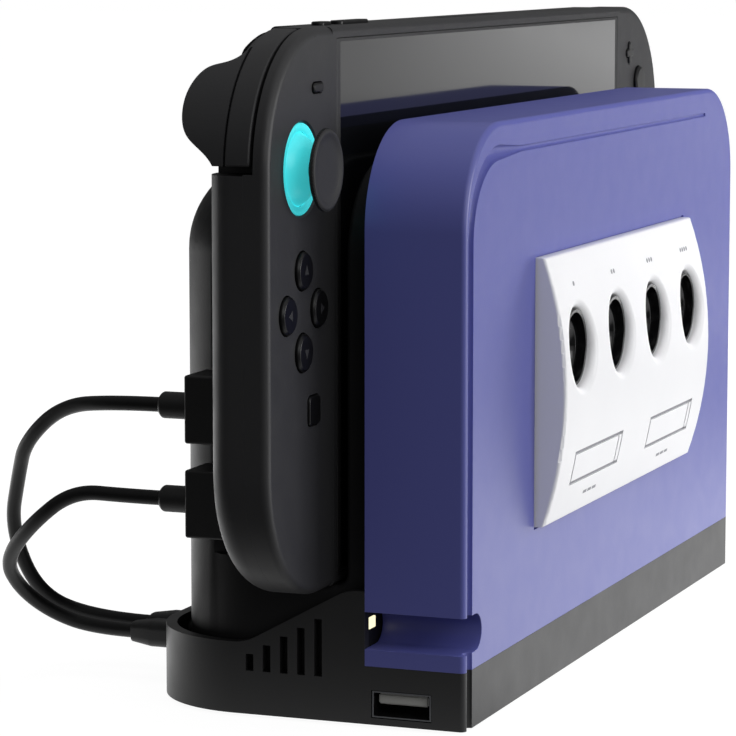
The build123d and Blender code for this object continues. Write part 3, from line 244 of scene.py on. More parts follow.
# %% [markdown]
# ## Metal
# The sockets are tin-plated steel, the screws are zinc-plated black, and the contacts are gold over bronze.
# All are drawn or rolled in one direction, so their scratches run that way. Noise that is stretched along X
# gives such scratches, and it drives the colour and the roughness together.

# %% Metal
scratch_width = 0.2
scratch_stretch = 0.05  # how little the pattern changes along a scratch
scratch_gloss = 0.08  # how much the roughness goes up and down across the scratches


def plated_metal(name, base, shade, roughness):
    """Plated metal with fine scratches along X."""
    material, tree, output = blank_material(name)
    place = add(tree, "ShaderNodeTexCoord").outputs["Object"]
    along = add(tree, "ShaderNodeMapping", {"Vector": place, "Scale": (scratch_stretch, 1.0, 1.0)})
    scratch = add(tree, "ShaderNodeTexNoise", {
        "Vector": along.outputs["Vector"], "Scale": per_mm(scratch_width), "Detail": 3.0})
    tint = add(tree, "ShaderNodeMix", {
        "Factor": scratch.outputs["Fac"], "A": colour(base), "B": colour(shade)}, data_type="RGBA")
    gloss = add(tree, "ShaderNodeMapRange", {
        "Value": scratch.outputs["Fac"], "To Min": roughness - scratch_gloss,
        "To Max": roughness + scratch_gloss})
    shader = add(tree, "ShaderNodeBsdfPrincipled", {
        "Base Color": tint.outputs["Result"], "Metallic": 1.0, "Roughness": gloss.outputs["Result"]})
    tree.links.new(shader.outputs["BSDF"], output.inputs["Surface"])
    return material


# Dull tin: a soft grey gleam.
socket_steel = plated_metal("tin_plated_steel", "#5C5D5F", "#4E4F52", roughness=0.38)
# Black zinc: dark, but still metal at a glance.
screw_steel = plated_metal("black_zinc_steel", "#3A3A3C", "#2C2C2E", roughness=0.4)
# Thin gold: warm and fairly bright.
contact_gold = plated_metal("gold_plated_bronze", "#D9B25A", "#C79F48", roughness=0.28)
print("metals", [m.name for m in (socket_steel, screw_steel, contact_gold)])

# %% [markdown]
# ## Board and lens
# The circuit boards are green solder mask over copper, and the tracks show through as lighter lines. A
# brick pattern is close enough for a board that hides behind a socket. The status light is a clear lens
# over a lamp that is on, so it gives its own light, just strong enough to look white in the middle of its
# dark channel.

# %% Board and lens
track_pitch = 6
track_share = 0.06  # of the pitch
lens_strength = 1.1


def solder_mask(name):
    """Green board whose copper tracks show through as lighter lines."""
    material, tree, output = blank_material(name)
    place = add(tree, "ShaderNodeTexCoord").outputs["Object"]
    track = add(tree, "ShaderNodeTexBrick", {
        "Vector": place, "Scale": per_mm(track_pitch), "Color1": colour("#0F4A2A"),
        "Color2": colour("#135332"), "Mortar": colour("#2A7A48"), "Mortar Size": track_share})
    shader = add(tree, "ShaderNodeBsdfPrincipled", {"Base Color": track.outputs["Color"], "Roughness": 0.3})
    tree.links.new(shader.outputs["BSDF"], output.inputs["Surface"])
    return material


def lit_lens(name, glow):
    """Clear lens of a small lamp that is on."""
    material, tree, output = blank_material(name)
    shader = add(tree, "ShaderNodeBsdfPrincipled", {
        "Base Color": colour("#FFF2C8"), "Roughness": 0.25, "Emission Color": colour(glow),
        "Emission Strength": lens_strength})
    tree.links.new(shader.outputs["BSDF"], output.inputs["Surface"])
    return material


# Lacquer over copper: a deep, glossy green.
board_mask = solder_mask("solder_mask_green")
# Clear plastic, lit from behind: a warm white spot.
clear_lens = lit_lens("lit_clear_lens", "#FFF6CC")
print("board and lens", board_mask.name, clear_lens.name)

# %% [markdown]
# ## Screen
# The screen is a black panel, switched off, under a flat polished glass. It shows nothing but what it
# mirrors, with faint smears that blur the reflection here and there. A matt black border runs round the
# picture. The border is found from the distance to the middle of the glass, so that it needs no second
# piece.

# %% Screen
smear_size = 30
smear_gloss = (0.03, 0.09)  # roughness of clean and of smeared glass
border_roughness = 0.55
border_sides = 2.0  # width at the left and the right
border_ends = 0.7  # width at the top and the bottom


def screen(name, middle, half_width, half_height):
    """Polished cover glass over a dark panel, with a matt border outside the half width and height."""
    material, tree, output = blank_material(name)
    place = add(tree, "ShaderNodeTexCoord").outputs["Object"]
    smear = add(tree, "ShaderNodeTexNoise", {"Vector": place, "Scale": per_mm(smear_size), "Detail": 5.0})
    clean, smeared = smear_gloss
    polish = add(tree, "ShaderNodeMapRange", {
        "Value": smear.outputs["Fac"], "To Min": clean, "To Max": smeared})
    offset = add(tree, "ShaderNodeVectorMath", {0: place, 1: middle}, operation="SUBTRACT")
    reach = add(tree, "ShaderNodeVectorMath", {0: offset.outputs["Vector"]}, operation="ABSOLUTE")
    ways = add(tree, "ShaderNodeSeparateXYZ", {"Vector": reach.outputs["Vector"]})
    sides = add(tree, "ShaderNodeMath", {0: ways.outputs["X"], 1: half_width}, operation="GREATER_THAN")
    ends = add(tree, "ShaderNodeMath", {0: ways.outputs["Z"], 1: half_height}, operation="GREATER_THAN")
    border = add(tree, "ShaderNodeMath", {0: sides.outputs["Value"], 1: ends.outputs["Value"]},
                 operation="MAXIMUM").outputs["Value"]
    tint = add(tree, "ShaderNodeMix", {
        "Factor": border, "A": colour("#101114"), "B": colour("#1A1A1B")}, data_type="RGBA")
    gloss = add(tree, "ShaderNodeMix", {
        "Factor": border, "A": polish.outputs["Result"], "B": border_roughness})
    shader = add(tree, "ShaderNodeBsdfPrincipled", {
        "Base Color": tint.outputs["Result"], "Roughness": gloss.outputs["Result"], "IOR": 1.6})
    tree.links.new(shader.outputs["BSDF"], output.inputs["Surface"])
    return material


glass_low, glass_high = (Vector(corner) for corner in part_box("screen_glass"))
glass_half = (glass_high - glass_low) / 2
# Ground and polished: a dark mirror.
screen_glass = screen("polished_cover_glass", (glass_low + glass_high) / 2,
                      glass_half.x - border_sides * MM, glass_half.z - border_ends * MM)
print("screen of", round(2 * glass_half.x / MM), "by", round(2 * glass_half.z / MM), "mm")

# %% [markdown]
# ## Ink
# The small marks are pad-printed: a soft pad lifts ink from a plate and presses it on the part. The ink is
# flat, and its gloss is a little broken at the scale of its dots, which noise in the roughness gives.

# %% Ink
ink_dot = 0.2


def printed_ink(name, base):
    """Flat ink whose gloss is broken by its dots."""
    material, tree, output = blank_material(name)
    place = add(tree, "ShaderNodeTexCoord").outputs["Object"]
    dots = add(tree, "ShaderNodeTexNoise", {"Vector": place, "Scale": per_mm(ink_dot)})
    gloss = add(tree, "ShaderNodeMapRange", {"Value": dots.outputs["Fac"], "To Min": 0.4, "To Max": 0.7})
    shader = add(tree, "ShaderNodeBsdfPrincipled", {
        "Base Color": colour(base), "Roughness": gloss.outputs["Result"]})
    tree.links.new(shader.outputs["BSDF"], output.inputs["Surface"])
    return material


# Thin grey on the white panel, easy to read and not strong: the printed dashes and dots, and the grey floors
# of the outline grooves.
grey_print_and_grooves = printed_ink("grey_print_and_groove_floors", "#8B8C91")
# Hardly lighter than the keys that it is printed on, so it shows mainly by its dullness.
dark_ink = printed_ink("pad_printed_ink_dark", "#1C1C1E")
print("materials", len(bpy.data.materials))

# %% [markdown]
# ## Helpers for pieces
# Every piece is a mesh or a curve at the origin, with its place in its points. It moves with the body of
# one node of the frame. Most pieces also stand for the node, which is then hidden.


# %% Helpers for pieces
def as_mesh(work, name, material):
    """Turn a finished bmesh into a mesh of one material."""
    mesh = bpy.data.meshes.new(name)
    work.to_mesh(mesh)
    work.free()
    mesh.materials.append(material)
    return mesh


def show(name, data):
    """An object of a mesh, a curve or a light, in the scene."""
    piece = bpy.data.objects.new(name, data)
    bpy.context.scene.collection.objects.link(piece)
    return piece


def carry(piece, node, stands_for=True):
    """Let a piece move with a node's body. It stands for the node or sits on it."""
    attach(piece, body_of_node[node])
    if stands_for:
        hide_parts(node)
    return piece


# %% [markdown]
# ## Edges of the moulded parts
# A moulded part has no knife edge: the mould's own radius leaves every corner rounded by a few tenths of a
# millimetre, and those corners catch the light. The frame's solids are sharp there, so each one is copied,
# its loose triangles are merged back into whole faces, and a Bevel modifier rounds what is left sharp.
# Weighted normals then keep the big faces flat in the shading.

# %% Edges of the moulded parts
merge_distance = 0.001
flat_angle = 0.3  # degrees, below which neighbouring triangles are one face
sharp_angle = 35  # degrees, above which an edge is rounded


def moulding(name, material, edge):
    """Copy of a node with its sharp edges rounded by this much. It stands for the node."""
    work = bmesh.new()
    work.from_mesh(nodes[name].data)
    bmesh.ops.remove_doubles(work, verts=work.verts, dist=merge_distance * MM)
    bmesh.ops.dissolve_limit(work, angle_limit=radians(flat_angle), verts=work.verts, edges=work.edges)
    mesh = as_mesh(work, f"{name}_moulding", material)
    mesh.shade_smooth()
    mesh.set_sharp_from_angle(angle=radians(sharp_angle))
    piece = show(f"{name}_moulding", mesh)
    bevel = piece.modifiers.new("edge", "BEVEL")
    bevel.width = edge * MM
    bevel.segments = 2
    bevel.limit_method = "ANGLE"
    bevel.angle_limit = radians(sharp_angle)
    weights = piece.modifiers.new("flat faces", "WEIGHTED_NORMAL")
    weights.keep_sharp = True
    return carry(piece, name)


def dress(material, *names, edge):
    """Round the edges of several nodes and give them one material."""
    for name in names:
        moulding(name, material, edge)


print("edges sharper than", sharp_angle, "degrees are rounded")

# %% [markdown]
# ## Dressing the solids
# Now each solid gets its material and the radius of its edges. Large mouldings have larger radii than keys,
# and sheet metal has hardly any.

# %% Dressing the solids
hands = ("left", "right")
round_keys = [f"{hand}_{place}_key" for hand in hands for place in ("upper", "lower", "outer", "inner")]
small_keys = ["minus_key", "capture_key", "plus_key", "home_key", "chat_key"]
lead_ends = [f"{place}_lead_{end}" for place in ("upper", "lower") for end in ("plug", "boot")]
grip_halves = [f"{hand}_grip_{side}" for hand in hands for side in ("front", "back")]
top_keys = [f"{hand}_{piece}" for hand in hands for piece in ("shoulder_key", "trigger")]
stick_joints = [f"{hand}_stick_{piece}" for hand in hands for piece in ("gimbal", "stem")]

dress(cover_abs, "front_cover", edge=0.25)
dress(port_abs, "port_cups", edge=0.1)
dress(tray_abs, "base_tray", edge=0.15)
dress(foot_rubber, "rubber_feet", edge=0.2)
dress(socket_steel, "usb_shells", "dock_sockets", edge=0.08)
dress(tongue_nylon, "dock_connector", edge=0.1)
dress(board_mask, "usb_boards", "dock_board", edge=0.1)
dress(clear_lens, "status_light", edge=0.15)
dress(dock_abs, "dock_body", "dock_rear_lid", edge=0.3)
dress(socket_nylon, "fan_frame", "fan_rotor", edge=0.15)
dress(plug_pvc, *lead_ends, edge=0.3)
dress(grip_abs, "tablet_housing", "tablet_stand", *grip_halves, edge=0.3)
dress(screen_glass, "screen_glass", edge=0.15)
dress(key_abs, *round_keys, *small_keys, "power_key", "volume_rocker", "card_flap", edge=0.12)
dress(grip_abs, *top_keys, edge=0.35)
dress(key_abs, *stick_joints, edge=0.1)

# %% [markdown]
# ## Turning the sticks
# Each stick stands in a round well: a coloured ring lies in the mouth of the well, a dome of the same
# colour moves with the stem and closes the hole of the ring, and a thin rubber cap sits on top, with a
# raised rim round its dish. All three are round, so each is a profile turned about the axis of the stick,
# as on a lathe.

# %% Turning the sticks
turn_steps = 72
crease_angle = 40  # degrees, above which a turned edge stays sharp
grip_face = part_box("left_grip_front")[0][1]


def turned(node, profile, material, closed):
    """A round piece on a stick's axis that stands for a node. A profile is (radius, rise from the face)."""
    low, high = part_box(node)
    x, z = (low[0] + high[0]) / 2, (low[2] + high[2]) / 2
    work = bmesh.new()
    rings = []
    for radius, rise in profile:
        y = grip_face - rise * MM
        turns = [2 * pi * i / turn_steps for i in range(turn_steps if radius else 1)]
        reach = radius * MM
        rings.append([work.verts.new((x + reach * cos(a), y, z + reach * sin(a))) for a in turns])
    pairs = list(zip(rings, rings[1:])) + ([(rings[-1], rings[0])] if closed else [])
    for one, two in pairs:
        for i in range(turn_steps):
            j = i + 1
            corners = [one[i % len(one)], one[j % len(one)], two[j % len(two)], two[i % len(two)]]
            work.faces.new(list(dict.fromkeys(corners)))
    bmesh.ops.recalc_face_normals(work, faces=work.faces)
    mesh = as_mesh(work, f"{node}_turned", material)
    mesh.shade_smooth()
    mesh.set_sharp_from_angle(angle=radians(crease_angle))
    return carry(show(f"{node}_turned", mesh), node)


print("grip face at", round(grip_face / MM, 2), "mm")

# %% [markdown]
# ## Profiles of the sticks
# The dome is part of a ball about the pivot, so the ring never touches it when the stick tilts, and its
# skirt reaches under the ring, so that the hole stays closed when it tilts one way. The ring and the cap are
# drawn point by point, with their rims rounded.

# %% Profiles of the sticks
pivot_rise = -5.6
dome_radius = 8.9
dome_wall = 0.5
dome_top, dome_skirt = 21.5, 69.0  # degrees from the axis
dome_steps = 22
dome_angles = [radians(dome_top + (dome_skirt - dome_top) * i / dome_steps) for i in range(dome_steps + 1)]


def dome_shell(radius):
    """Profile of a ball about the pivot, from the stem to the skirt."""
    return [(radius * sin(a), pivot_rise + radius * cos(a)) for a in dome_angles]


dome_profile = dome_shell(dome_radius) + dome_shell(dome_radius - dome_wall)[::-1]
ring_profile = [
    (9.3, -0.42), (9.24, -0.3), (9.08, -0.23), (8.8, -0.2), (8.3, -0.24),
    (7.9, -0.34), (7.6, -0.5), (7.52, -0.62), (7.85, -1.15), (9.3, -1.0)]
cap_profile = [
    (0, 5.2), (3.5, 5.22), (5.2, 5.28), (6.1, 5.38), (6.7, 5.56), (7.1, 5.78), (7.4, 5.88),
    (7.66, 5.9), (7.9, 5.84), (8.12, 5.68), (8.24, 5.42), (8.24, 5.1), (8.14, 4.84), (7.94, 4.67),
    (7.7, 4.6), (3.6, 4.6), (3.34, 4.4), (2.85, 1.25), (1.95, 1.2), (1.9, 4.45), (0, 4.45)]

# Each ring and its dome take the coloured plastic with the painted glow, and the caps are rubber.
for hand, dye in (("left", ring_teal), ("right", ring_coral)):
    turned(f"{hand}_stick_ring", ring_profile, dye, closed=True)
    turned(f"{hand}_stick_dome", dome_profile, dye, closed=True)
    turned(f"{hand}_stick_cap", cap_profile, cap_rubber, closed=False)
print("sticks with a dome of", dome_radius, "mm radius")

# %% [markdown]
# ## Tongues of the sockets
# Each socket in the plinth has a plastic tongue in the upper half of its steel shell, ending a little
# behind the mouth. It is a plain bar with a bevelled front, so a bevelled block is enough.

# %% Tongues of the sockets
mouth_gap = 1.2
tongue_root = 88.8 * MM  # from the middle of the dock
tongue_bevel = 0.3

tongue_low, tongue_high = (Vector(corner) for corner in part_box("usb_tongues"))
tongue_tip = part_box("usb_shells")[1][0] - mouth_gap * MM
work = bmesh.new()
for side in (-1, 1):
    for vert in bmesh.ops.create_cube(work, size=1)["verts"]:
        share = vert.co + Vector((0.5, 0.5, 0.5))
        x = tongue_root + share.x * (tongue_tip - tongue_root)
        y = tongue_low.y + share.y * (tongue_high.y - tongue_low.y)
        z = tongue_low.z + share.z * (tongue_high.z - tongue_low.z)
        vert.co = (side * x, y, z)
bmesh.ops.recalc_face_normals(work, faces=work.faces)
bmesh.ops.bevel(work, geom=work.edges[:], offset=tongue_bevel * MM, segments=2, affect="EDGES")
tongues = show("usb_tongue_bars", as_mesh(work, "usb_tongue_bars", tongue_nylon))
carry(tongues, "usb_tongues")
print("tongues end", mouth_gap, "mm behind the mouth")

# %% [markdown]
# ## The panel and its grey outlines
# The white panel is moulded with two outlined flaps. The floors of the outlines' grooves are coloured grey,
# which makes the outlines darker than the panel. The grooves are in the solid already, so the grey is only a
# second material on their floors. A floor is found by its depth: a ray at the middle of the panel gives the
# plain surface at the same height.

# %% The panel and its grey outlines
front = -60  # clear in front of the panel
flap_near, flap_far = 9, 50  # from the middle of the panel
flap_low, flap_high = 42, 54
floor_depth = 0.3  # least depth of a groove's floor
towards_front = -0.5  # greatest Y of the normal of a face that looks to the front


def seat(name, start, way):
    """Place and normal where a ray from start meets a node."""
    source = nodes[name].data
    skin = BVHTree.FromPolygons([v.co for v in source.vertices], [p.vertices for p in source.polygons])
    place, normal, _, _ = skin.ray_cast(Vector(start) * MM, Vector(way))
    return place, normal


panel = moulding("port_panel", panel_abs, edge=0.12)
panel.data.materials.append(grey_print_and_grooves)
greyed = 0
# The floors of the outline grooves take the grey, which makes the outlines darker than the panel.
for face in panel.data.polygons:
    x, y, z = face.center / MM
    on_flap = flap_near < abs(x) < flap_far and flap_low < z < flap_high
    if face.normal.y > towards_front or not on_flap:
        continue
    plain, _ = seat("port_panel", (0, front, z), (0, 1, 0))
    if y - plain.y / MM > floor_depth:
        face.material_index = 1
        greyed += 1
print("inked faces", greyed)

# %% [markdown]
# ## A tree for what repeats
# The small things that repeat are made by Geometry Nodes. A tree draws one thing, sets a copy of it on
# every point of a mesh, turned the way that the point faces, and joins the copies into one mesh. The sizes
# and the material are inputs of the tree, so one tree serves screws of three sizes.


# %% A tree for what repeats
def repeat_tree(name, sizes, draw):
    """A tree that sets copies of what draw makes on the points of a mesh."""
    tree = bpy.data.node_groups.new(name, "GeometryNodeTree")
    tree.interface.new_socket("Points", in_out="INPUT", socket_type="NodeSocketGeometry")
    for size in sizes:
        tree.interface.new_socket(size, in_out="INPUT", socket_type="NodeSocketFloat")
    tree.interface.new_socket("Finish", in_out="INPUT", socket_type="NodeSocketMaterial")
    tree.interface.new_socket("Copies", in_out="OUTPUT", socket_type="NodeSocketGeometry")
    given = add(tree, "NodeGroupInput").outputs
    facing = add(tree, "GeometryNodeInputNamedAttribute", {"Name": "facing"}, data_type="FLOAT_VECTOR")
    turn = add(tree, "FunctionNodeAlignRotationToVector", {"Vector": facing.outputs["Attribute"]}, axis="Z")
    copies = add(tree, "GeometryNodeInstanceOnPoints", {
        "Points": given["Points"], "Instance": draw(tree, given), "Rotation": turn.outputs["Rotation"]})
    joined = add(tree, "GeometryNodeRealizeInstances", {"Geometry": copies.outputs["Instances"]})
    coated = add(tree, "GeometryNodeSetMaterial", {
        "Geometry": joined.outputs["Geometry"], "Material": given["Finish"]})
    add(tree, "NodeGroupOutput", {"Copies": coated.outputs["Geometry"]})
    return tree


print("trees so far", len(bpy.data.node_groups))

# %% [markdown]
# ## Copies on their seats
# A seat is a place and the way that it faces. The places become the points of a mesh, and the ways become
# an attribute on them, which the tree reads. What the tree makes is then kept as a plain mesh, so that the
# piece already has its last shape. Most seats are found with rays, which puts each copy on the surface that
# carries it.


# %% Copies on their seats
def repeat(name, tree, seats, sizes, finish, node):
    """A mesh of the tree's copies on the seats, riding with the body of a node."""
    points = bpy.data.meshes.new(f"{name}_points")
    points.from_pydata([place for place, _ in seats], [], [])
    facing = points.attributes.new("facing", "FLOAT_VECTOR", "POINT")
    for item, (_, normal) in zip(facing.data, seats):
        item.vector = normal
    piece = show(name, points)
    maker = piece.modifiers.new("copies", "NODES")
    maker.node_group = tree
    for socket in tree.interface.items_tree:
        if socket.name in sizes:
            maker[socket.identifier] = sizes[socket.name] * MM
        elif socket.name == "Finish":
            maker[socket.identifier] = finish
    made = bpy.data.meshes.new_from_object(piece.evaluated_get(bpy.context.evaluated_depsgraph_get()))
    piece.modifiers.remove(maker)
    piece.data = made
    print(name, len(seats), "copies,", len(made.polygons), "faces")
    return carry(piece, node, stands_for=False)


# %% [markdown]
# ## Screws
# Small cross-head screws hold the rear lid, the halves of the grips and the tray. A head is a low cone, and
# two crossed bars are cut out of its top, which leaves the recess for the driver.

# %% Screws
head_top, head_bottom = 0.38, 0.5  # radii of a head, as shares of its diameter
head_sides = 24


def draw_screw(tree, size):
    """A low head with a cross recess."""
    top = add(tree, "ShaderNodeMath", {0: size["Head"], 1: head_top}, operation="MULTIPLY")
    bottom = add(tree, "ShaderNodeMath", {0: size["Head"], 1: head_bottom}, operation="MULTIPLY")
    head = add(tree, "GeometryNodeMeshCone", {
        "Vertices": head_sides, "Radius Top": top.outputs["Value"],
        "Radius Bottom": bottom.outputs["Value"], "Depth": size["Height"]})
    bars = []
    for turn in (0, radians(90)):
        sides = add(tree, "ShaderNodeCombineXYZ", {
            "X": bottom.outputs["Value"], "Y": size["Recess"], "Z": size["Height"]})
        lift = add(tree, "ShaderNodeCombineXYZ", {"Z": size["Height"]})
        block = add(tree, "GeometryNodeMeshCube", {"Size": sides.outputs["Vector"]})
        bars.append(add(tree, "GeometryNodeTransform", {
            "Geometry": block.outputs["Mesh"], "Translation": lift.outputs["Vector"],
            "Rotation": (0, 0, turn)}))
    cut = add(tree, "GeometryNodeMeshBoolean", {"Mesh 1": head.outputs["Mesh"]}, operation="DIFFERENCE")
    for bar in bars:
        tree.links.new(bar.outputs["Geometry"], cut.inputs["Mesh 2"])
    return cut.outputs["Mesh"]


behind = 90  # clear behind the dock
below = -20  # clear below the tray
lid_screw_x, lid_screw_heights = 66, (24, 88)
grip_screw_places = ((118, 48), (108, 122))  # from the middle, and height
tray_screw_x, tray_screw_y = (-72, 0, 72), (-20, 27)

screw = repeat_tree("cross_head_screw", ("Head", "Height", "Recess"), draw_screw)
lid_screws = [seat("dock_rear_lid", (x, behind, z), (0, -1, 0))
              for x in (-lid_screw_x, lid_screw_x) for z in lid_screw_heights]
grip_screws = [seat(f"{hand}_grip_back", (side * x, behind, z), (0, -1, 0))
               for hand, side in (("left", -1), ("right", 1)) for x, z in grip_screw_places]
tray_screws = [seat("base_tray", (x, y, below), (0, 0, 1)) for x in tray_screw_x for y in tray_screw_y]
lid_screw = {"Head": 4.0, "Height": 0.6, "Recess": 0.7}
grip_screw = {"Head": 2.6, "Height": 0.35, "Recess": 0.5}
tray_screw = {"Head": 4.4, "Height": 0.5, "Recess": 0.7}
repeat("lid_screws", screw, lid_screws, lid_screw, screw_steel, "dock_rear_lid")
repeat("grip_screws", screw, grip_screws, grip_screw, screw_steel, "left_grip_back")
repeat("tray_screws", screw, tray_screws, tray_screw, screw_steel, "base_tray")

# %% [markdown]
# ## Contacts, dashes and dots
# Four gold contacts lie on the underside of each socket's tongue. On the panel, a printed row of dashes
# stands under each flap, and one to four dots count the ports. Contacts and dashes are flat bars and the
# dots are flat discs, so two trees make all three.

# %% Contacts, dashes and dots
dot_sides = 16


def draw_bar(tree, size):
    """A flat bar."""
    sides = add(tree, "ShaderNodeCombineXYZ", {
        "X": size["Length"], "Y": size["Width"], "Z": size["Thickness"]})
    return add(tree, "GeometryNodeMeshCube", {"Size": sides.outputs["Vector"]}).outputs["Mesh"]


def draw_dot(tree, size):
    """A flat round dot."""
    return add(tree, "GeometryNodeMeshCylinder", {
        "Vertices": dot_sides, "Radius": size["Radius"], "Depth": size["Thickness"]}).outputs["Mesh"]


flat_bar = repeat_tree("flat_bar", ("Length", "Width", "Thickness"), draw_bar)
flat_dot = repeat_tree("printed_dot", ("Radius", "Thickness"), draw_dot)

contact_middle = (97.0, -20.4, 5.1)
contact_steps = (-3.5, -1.0, 1.0, 3.5)
dash_height = 40.6
dash_steps = (-3.4, 0, 3.4)
flap_middle = 29
port_count = 4
port_pitch = 29.2
dot_height = 88.2
dot_step = 1.7

reach, depth, rise = contact_middle
contacts = [(Vector((side * reach, depth + step, rise)) * MM, Vector((0, 0, -1)))
            for side in (-1, 1) for step in contact_steps]
dashes = [seat("port_panel", (side * flap_middle + step, front, dash_height), (0, 1, 0))
          for side in (-1, 1) for step in dash_steps]
dots = []
for port in range(port_count):
    port_x = (port - (port_count - 1) / 2) * port_pitch
    for count in range(port + 1):
        dot_x = port_x + (count - port / 2) * dot_step
        dots.append(seat("port_panel", (dot_x, front, dot_height), (0, 1, 0)))
contact = {"Length": 7.0, "Width": 1.0, "Thickness": 0.16}
dash = {"Length": 2.6, "Width": 0.7, "Thickness": 0.06}
dot = {"Radius": 0.55, "Thickness": 0.06}
repeat("usb_contacts", flat_bar, contacts, contact, contact_gold, "usb_tongues")
repeat("flap_dashes", flat_bar, dashes, dash, grey_print_and_grooves, "port_panel")
repeat("port_dots", flat_dot, dots, dot, grey_print_and_grooves, "port_panel")

# %% [markdown]
# ## Ribs round the stick caps
# The rim of a cap is ribbed all round, for grip. The ribs are flat bars that face away from the axis, so
# the tree for bars makes them too, on points that a loop puts round the rim.

# %% Ribs round the stick caps
cap_radius = 8.24
cap_middle = -9.86  # middle of the rim, along Y
rib_count = 72
stick_places = {"left": (-117.8, 117.0), "right": (117.8, 88.2)}
rib = {"Length": 0.34, "Width": 0.7, "Thickness": 0.16}

rib_turns = [2 * pi * i / rib_count for i in range(rib_count)]
spokes = [Vector((cos(a), 0, sin(a))) for a in rib_turns]
for hand, (x, z) in stick_places.items():
    ribs = [((Vector((x, cap_middle, z)) + spoke * cap_radius) * MM, spoke) for spoke in spokes]
    repeat(f"{hand}_cap_ribs", flat_bar, ribs, rib, cap_rubber, f"{hand}_stick_cap")

# %% [markdown]
# ## Arrows on the keys
# The four keys on the left carry small printed arrows, one for each way. Each is a thin triangle that rides
# with its own key, so it goes down when the key is pressed.

# %% Arrows on the keys
arrow_tip = 1.3
arrow_tail = 0.7
arrow_half_width = 1.1
arrow_half_thickness = 0.03


def arrow(place, way):
    """A thin printed triangle on a left key, pointing along way."""
    name = f"left_{place}_key"
    low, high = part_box(name)
    middle = (Vector(low) + Vector(high)) / 2
    hit, _ = seat(name, (middle.x / MM, front, middle.z / MM), (0, 1, 0))
    along = Vector(way)
    across = Vector((-along.z, 0, along.x))
    left, right = (across * side * arrow_half_width - along * arrow_tail for side in (1, -1))
    plate = bmesh.new()
    top, bottom = ([plate.verts.new(hit + (corner + Vector((0, depth, 0))) * MM)
                    for corner in (along * arrow_tip, left, right)]
                   for depth in (-arrow_half_thickness, arrow_half_thickness))
    plate.faces.new(top)
    plate.faces.new(bottom[::-1])
    for i in range(3):
        j = (i + 1) % 3
        plate.faces.new((top[i], bottom[i], bottom[j], top[j]))
    bmesh.ops.recalc_face_normals(plate, faces=plate.faces)
    piece = show(f"{name}_arrow", as_mesh(plate, f"{name}_arrow", dark_ink))
    return carry(piece, name, stands_for=False)


for place, way in (("upper", (0, 0, 1)), ("lower", (0, 0, -1)), ("outer", (-1, 0, 0)), ("inner", (1, 0, 0))):
    print(arrow(place, way).name)

# %% [markdown]
# ## Leads
# Two short leads run from angled plugs in the side of the dock, arch out behind it and go back into the
# tray. Each is a fixed length of flexible PVC lead, 3.2 mm thick, held at both ends. Its route is a handful
# of points, and a NURBS curve inside that cage gives the even bends that a real lead takes.

# %% Leads
lead_diameter = 3.2 * MM
lead_routes = {
    "upper": [
        (-102.8, 33.6, 65.6), (-102.8, 44.0, 65.6), (-97.0, 59.5, 63.5), (-93.0, 70.5, 54.5),
        (-86.5, 75.5, 46.0), (-79.0, 81.5, 32.5), (-72.0, 78.5, 16.5), (-64.0, 68.0, 10.2),
        (-64.0, 53.7, 10.2)],
    "lower": [
        (-102.8, 33.6, 45.7), (-102.8, 42.0, 45.7), (-102.5, 54.5, 46.0), (-101.5, 65.0, 38.0),
        (-92.5, 76.0, 28.0), (-84.5, 77.0, 20.5), (-78.0, 72.5, 14.0), (-74.0, 64.0, 10.2),
        (-74.0, 53.7, 10.2)],
}


def lay_lead(name, route):
    """A lead along its route: a tube round a NURBS curve, riding with the lead's body."""
    curve = bpy.data.curves.new(f"{name}_lead_line", "CURVE")
    curve.dimensions = "3D"
    curve.bevel_depth = lead_diameter / 2
    curve.bevel_resolution = 6
    curve.resolution_u = 10
    line = curve.splines.new("NURBS")
    line.points.add(len(route) - 1)
    for point, place in zip(line.points, route):
        point.co = (*(Vector(place) * MM), 1)
    line.order_u = 3
    line.use_endpoint_u = True
    curve.materials.append(lead_pvc)
    lead = carry(show(f"{name}_lead_cable", curve), f"{name}_lead")


for name, route in lead_routes.items():
    lay_lead(name, route)

# %% [markdown]
# ## Lamps
# A lamp in front lights the cover and the panel. A small one far to the right grazes the cover, so that the
# panel throws a soft shadow to its left. One from above opens the top, and a weak one fills the left side,
# which stays dark. The lamps from the right and from above are polarised: they light the colour and leave
# no gloss.


# %% Lamps
def lamp(name, place, aim, size, power, glossy=True):
    """A square soft lamp that points at a place. A polarised one leaves no gloss."""
    light = bpy.data.lights.new(name, "AREA")
    light.size = size
    light.energy = power
    holder = show(name, light)
    holder.location = place
    holder.rotation_euler = (Vector(aim) - Vector(place)).to_track_quat("-Z", "Y").to_euler()
    holder.visible_glossy = glossy
    print(name, power, "W")


lamp("front_softbox", place=(0.30, -1.00, 0.22), aim=(0.0, -0.03, 0.06), size=0.4, power=4.2)
lamp("overhead_softbox", place=(0.0, 0.0, 0.95), aim=(0.0, 0.0, 0.1), size=0.6, power=2.1, glossy=False)
lamp("right_softbox", place=(0.80, -0.22, 0.12), aim=(0.0, -0.03, 0.07), size=0.22, power=7.8, glossy=False)
lamp("left_fill", place=(-0.55, -0.85, 0.55), aim=(0.0, -0.03, 0.08), size=0.5, power=1.6)

# %% [markdown]
# ## Surroundings
# A studio is bright where its white walls are and dark elsewhere, and black plastic shows which is which.
# Here a soft bright patch stands in front of the cover and above it, the ceiling is dimmer, and the rest is
# nearly dark. Only the camera sees all of it as white, which gives the plain background.

# %% Surroundings
bright_side = Vector((-0.15, -0.80, 0.58)).normalized()
bright_edge = 0.3  # cosine of the angle where the bright patch ends
dark_level = 0.12
bright_level = 0.8
top_level = 0.3
top_start, top_full = 0.1, 0.7  # heights on a unit ball

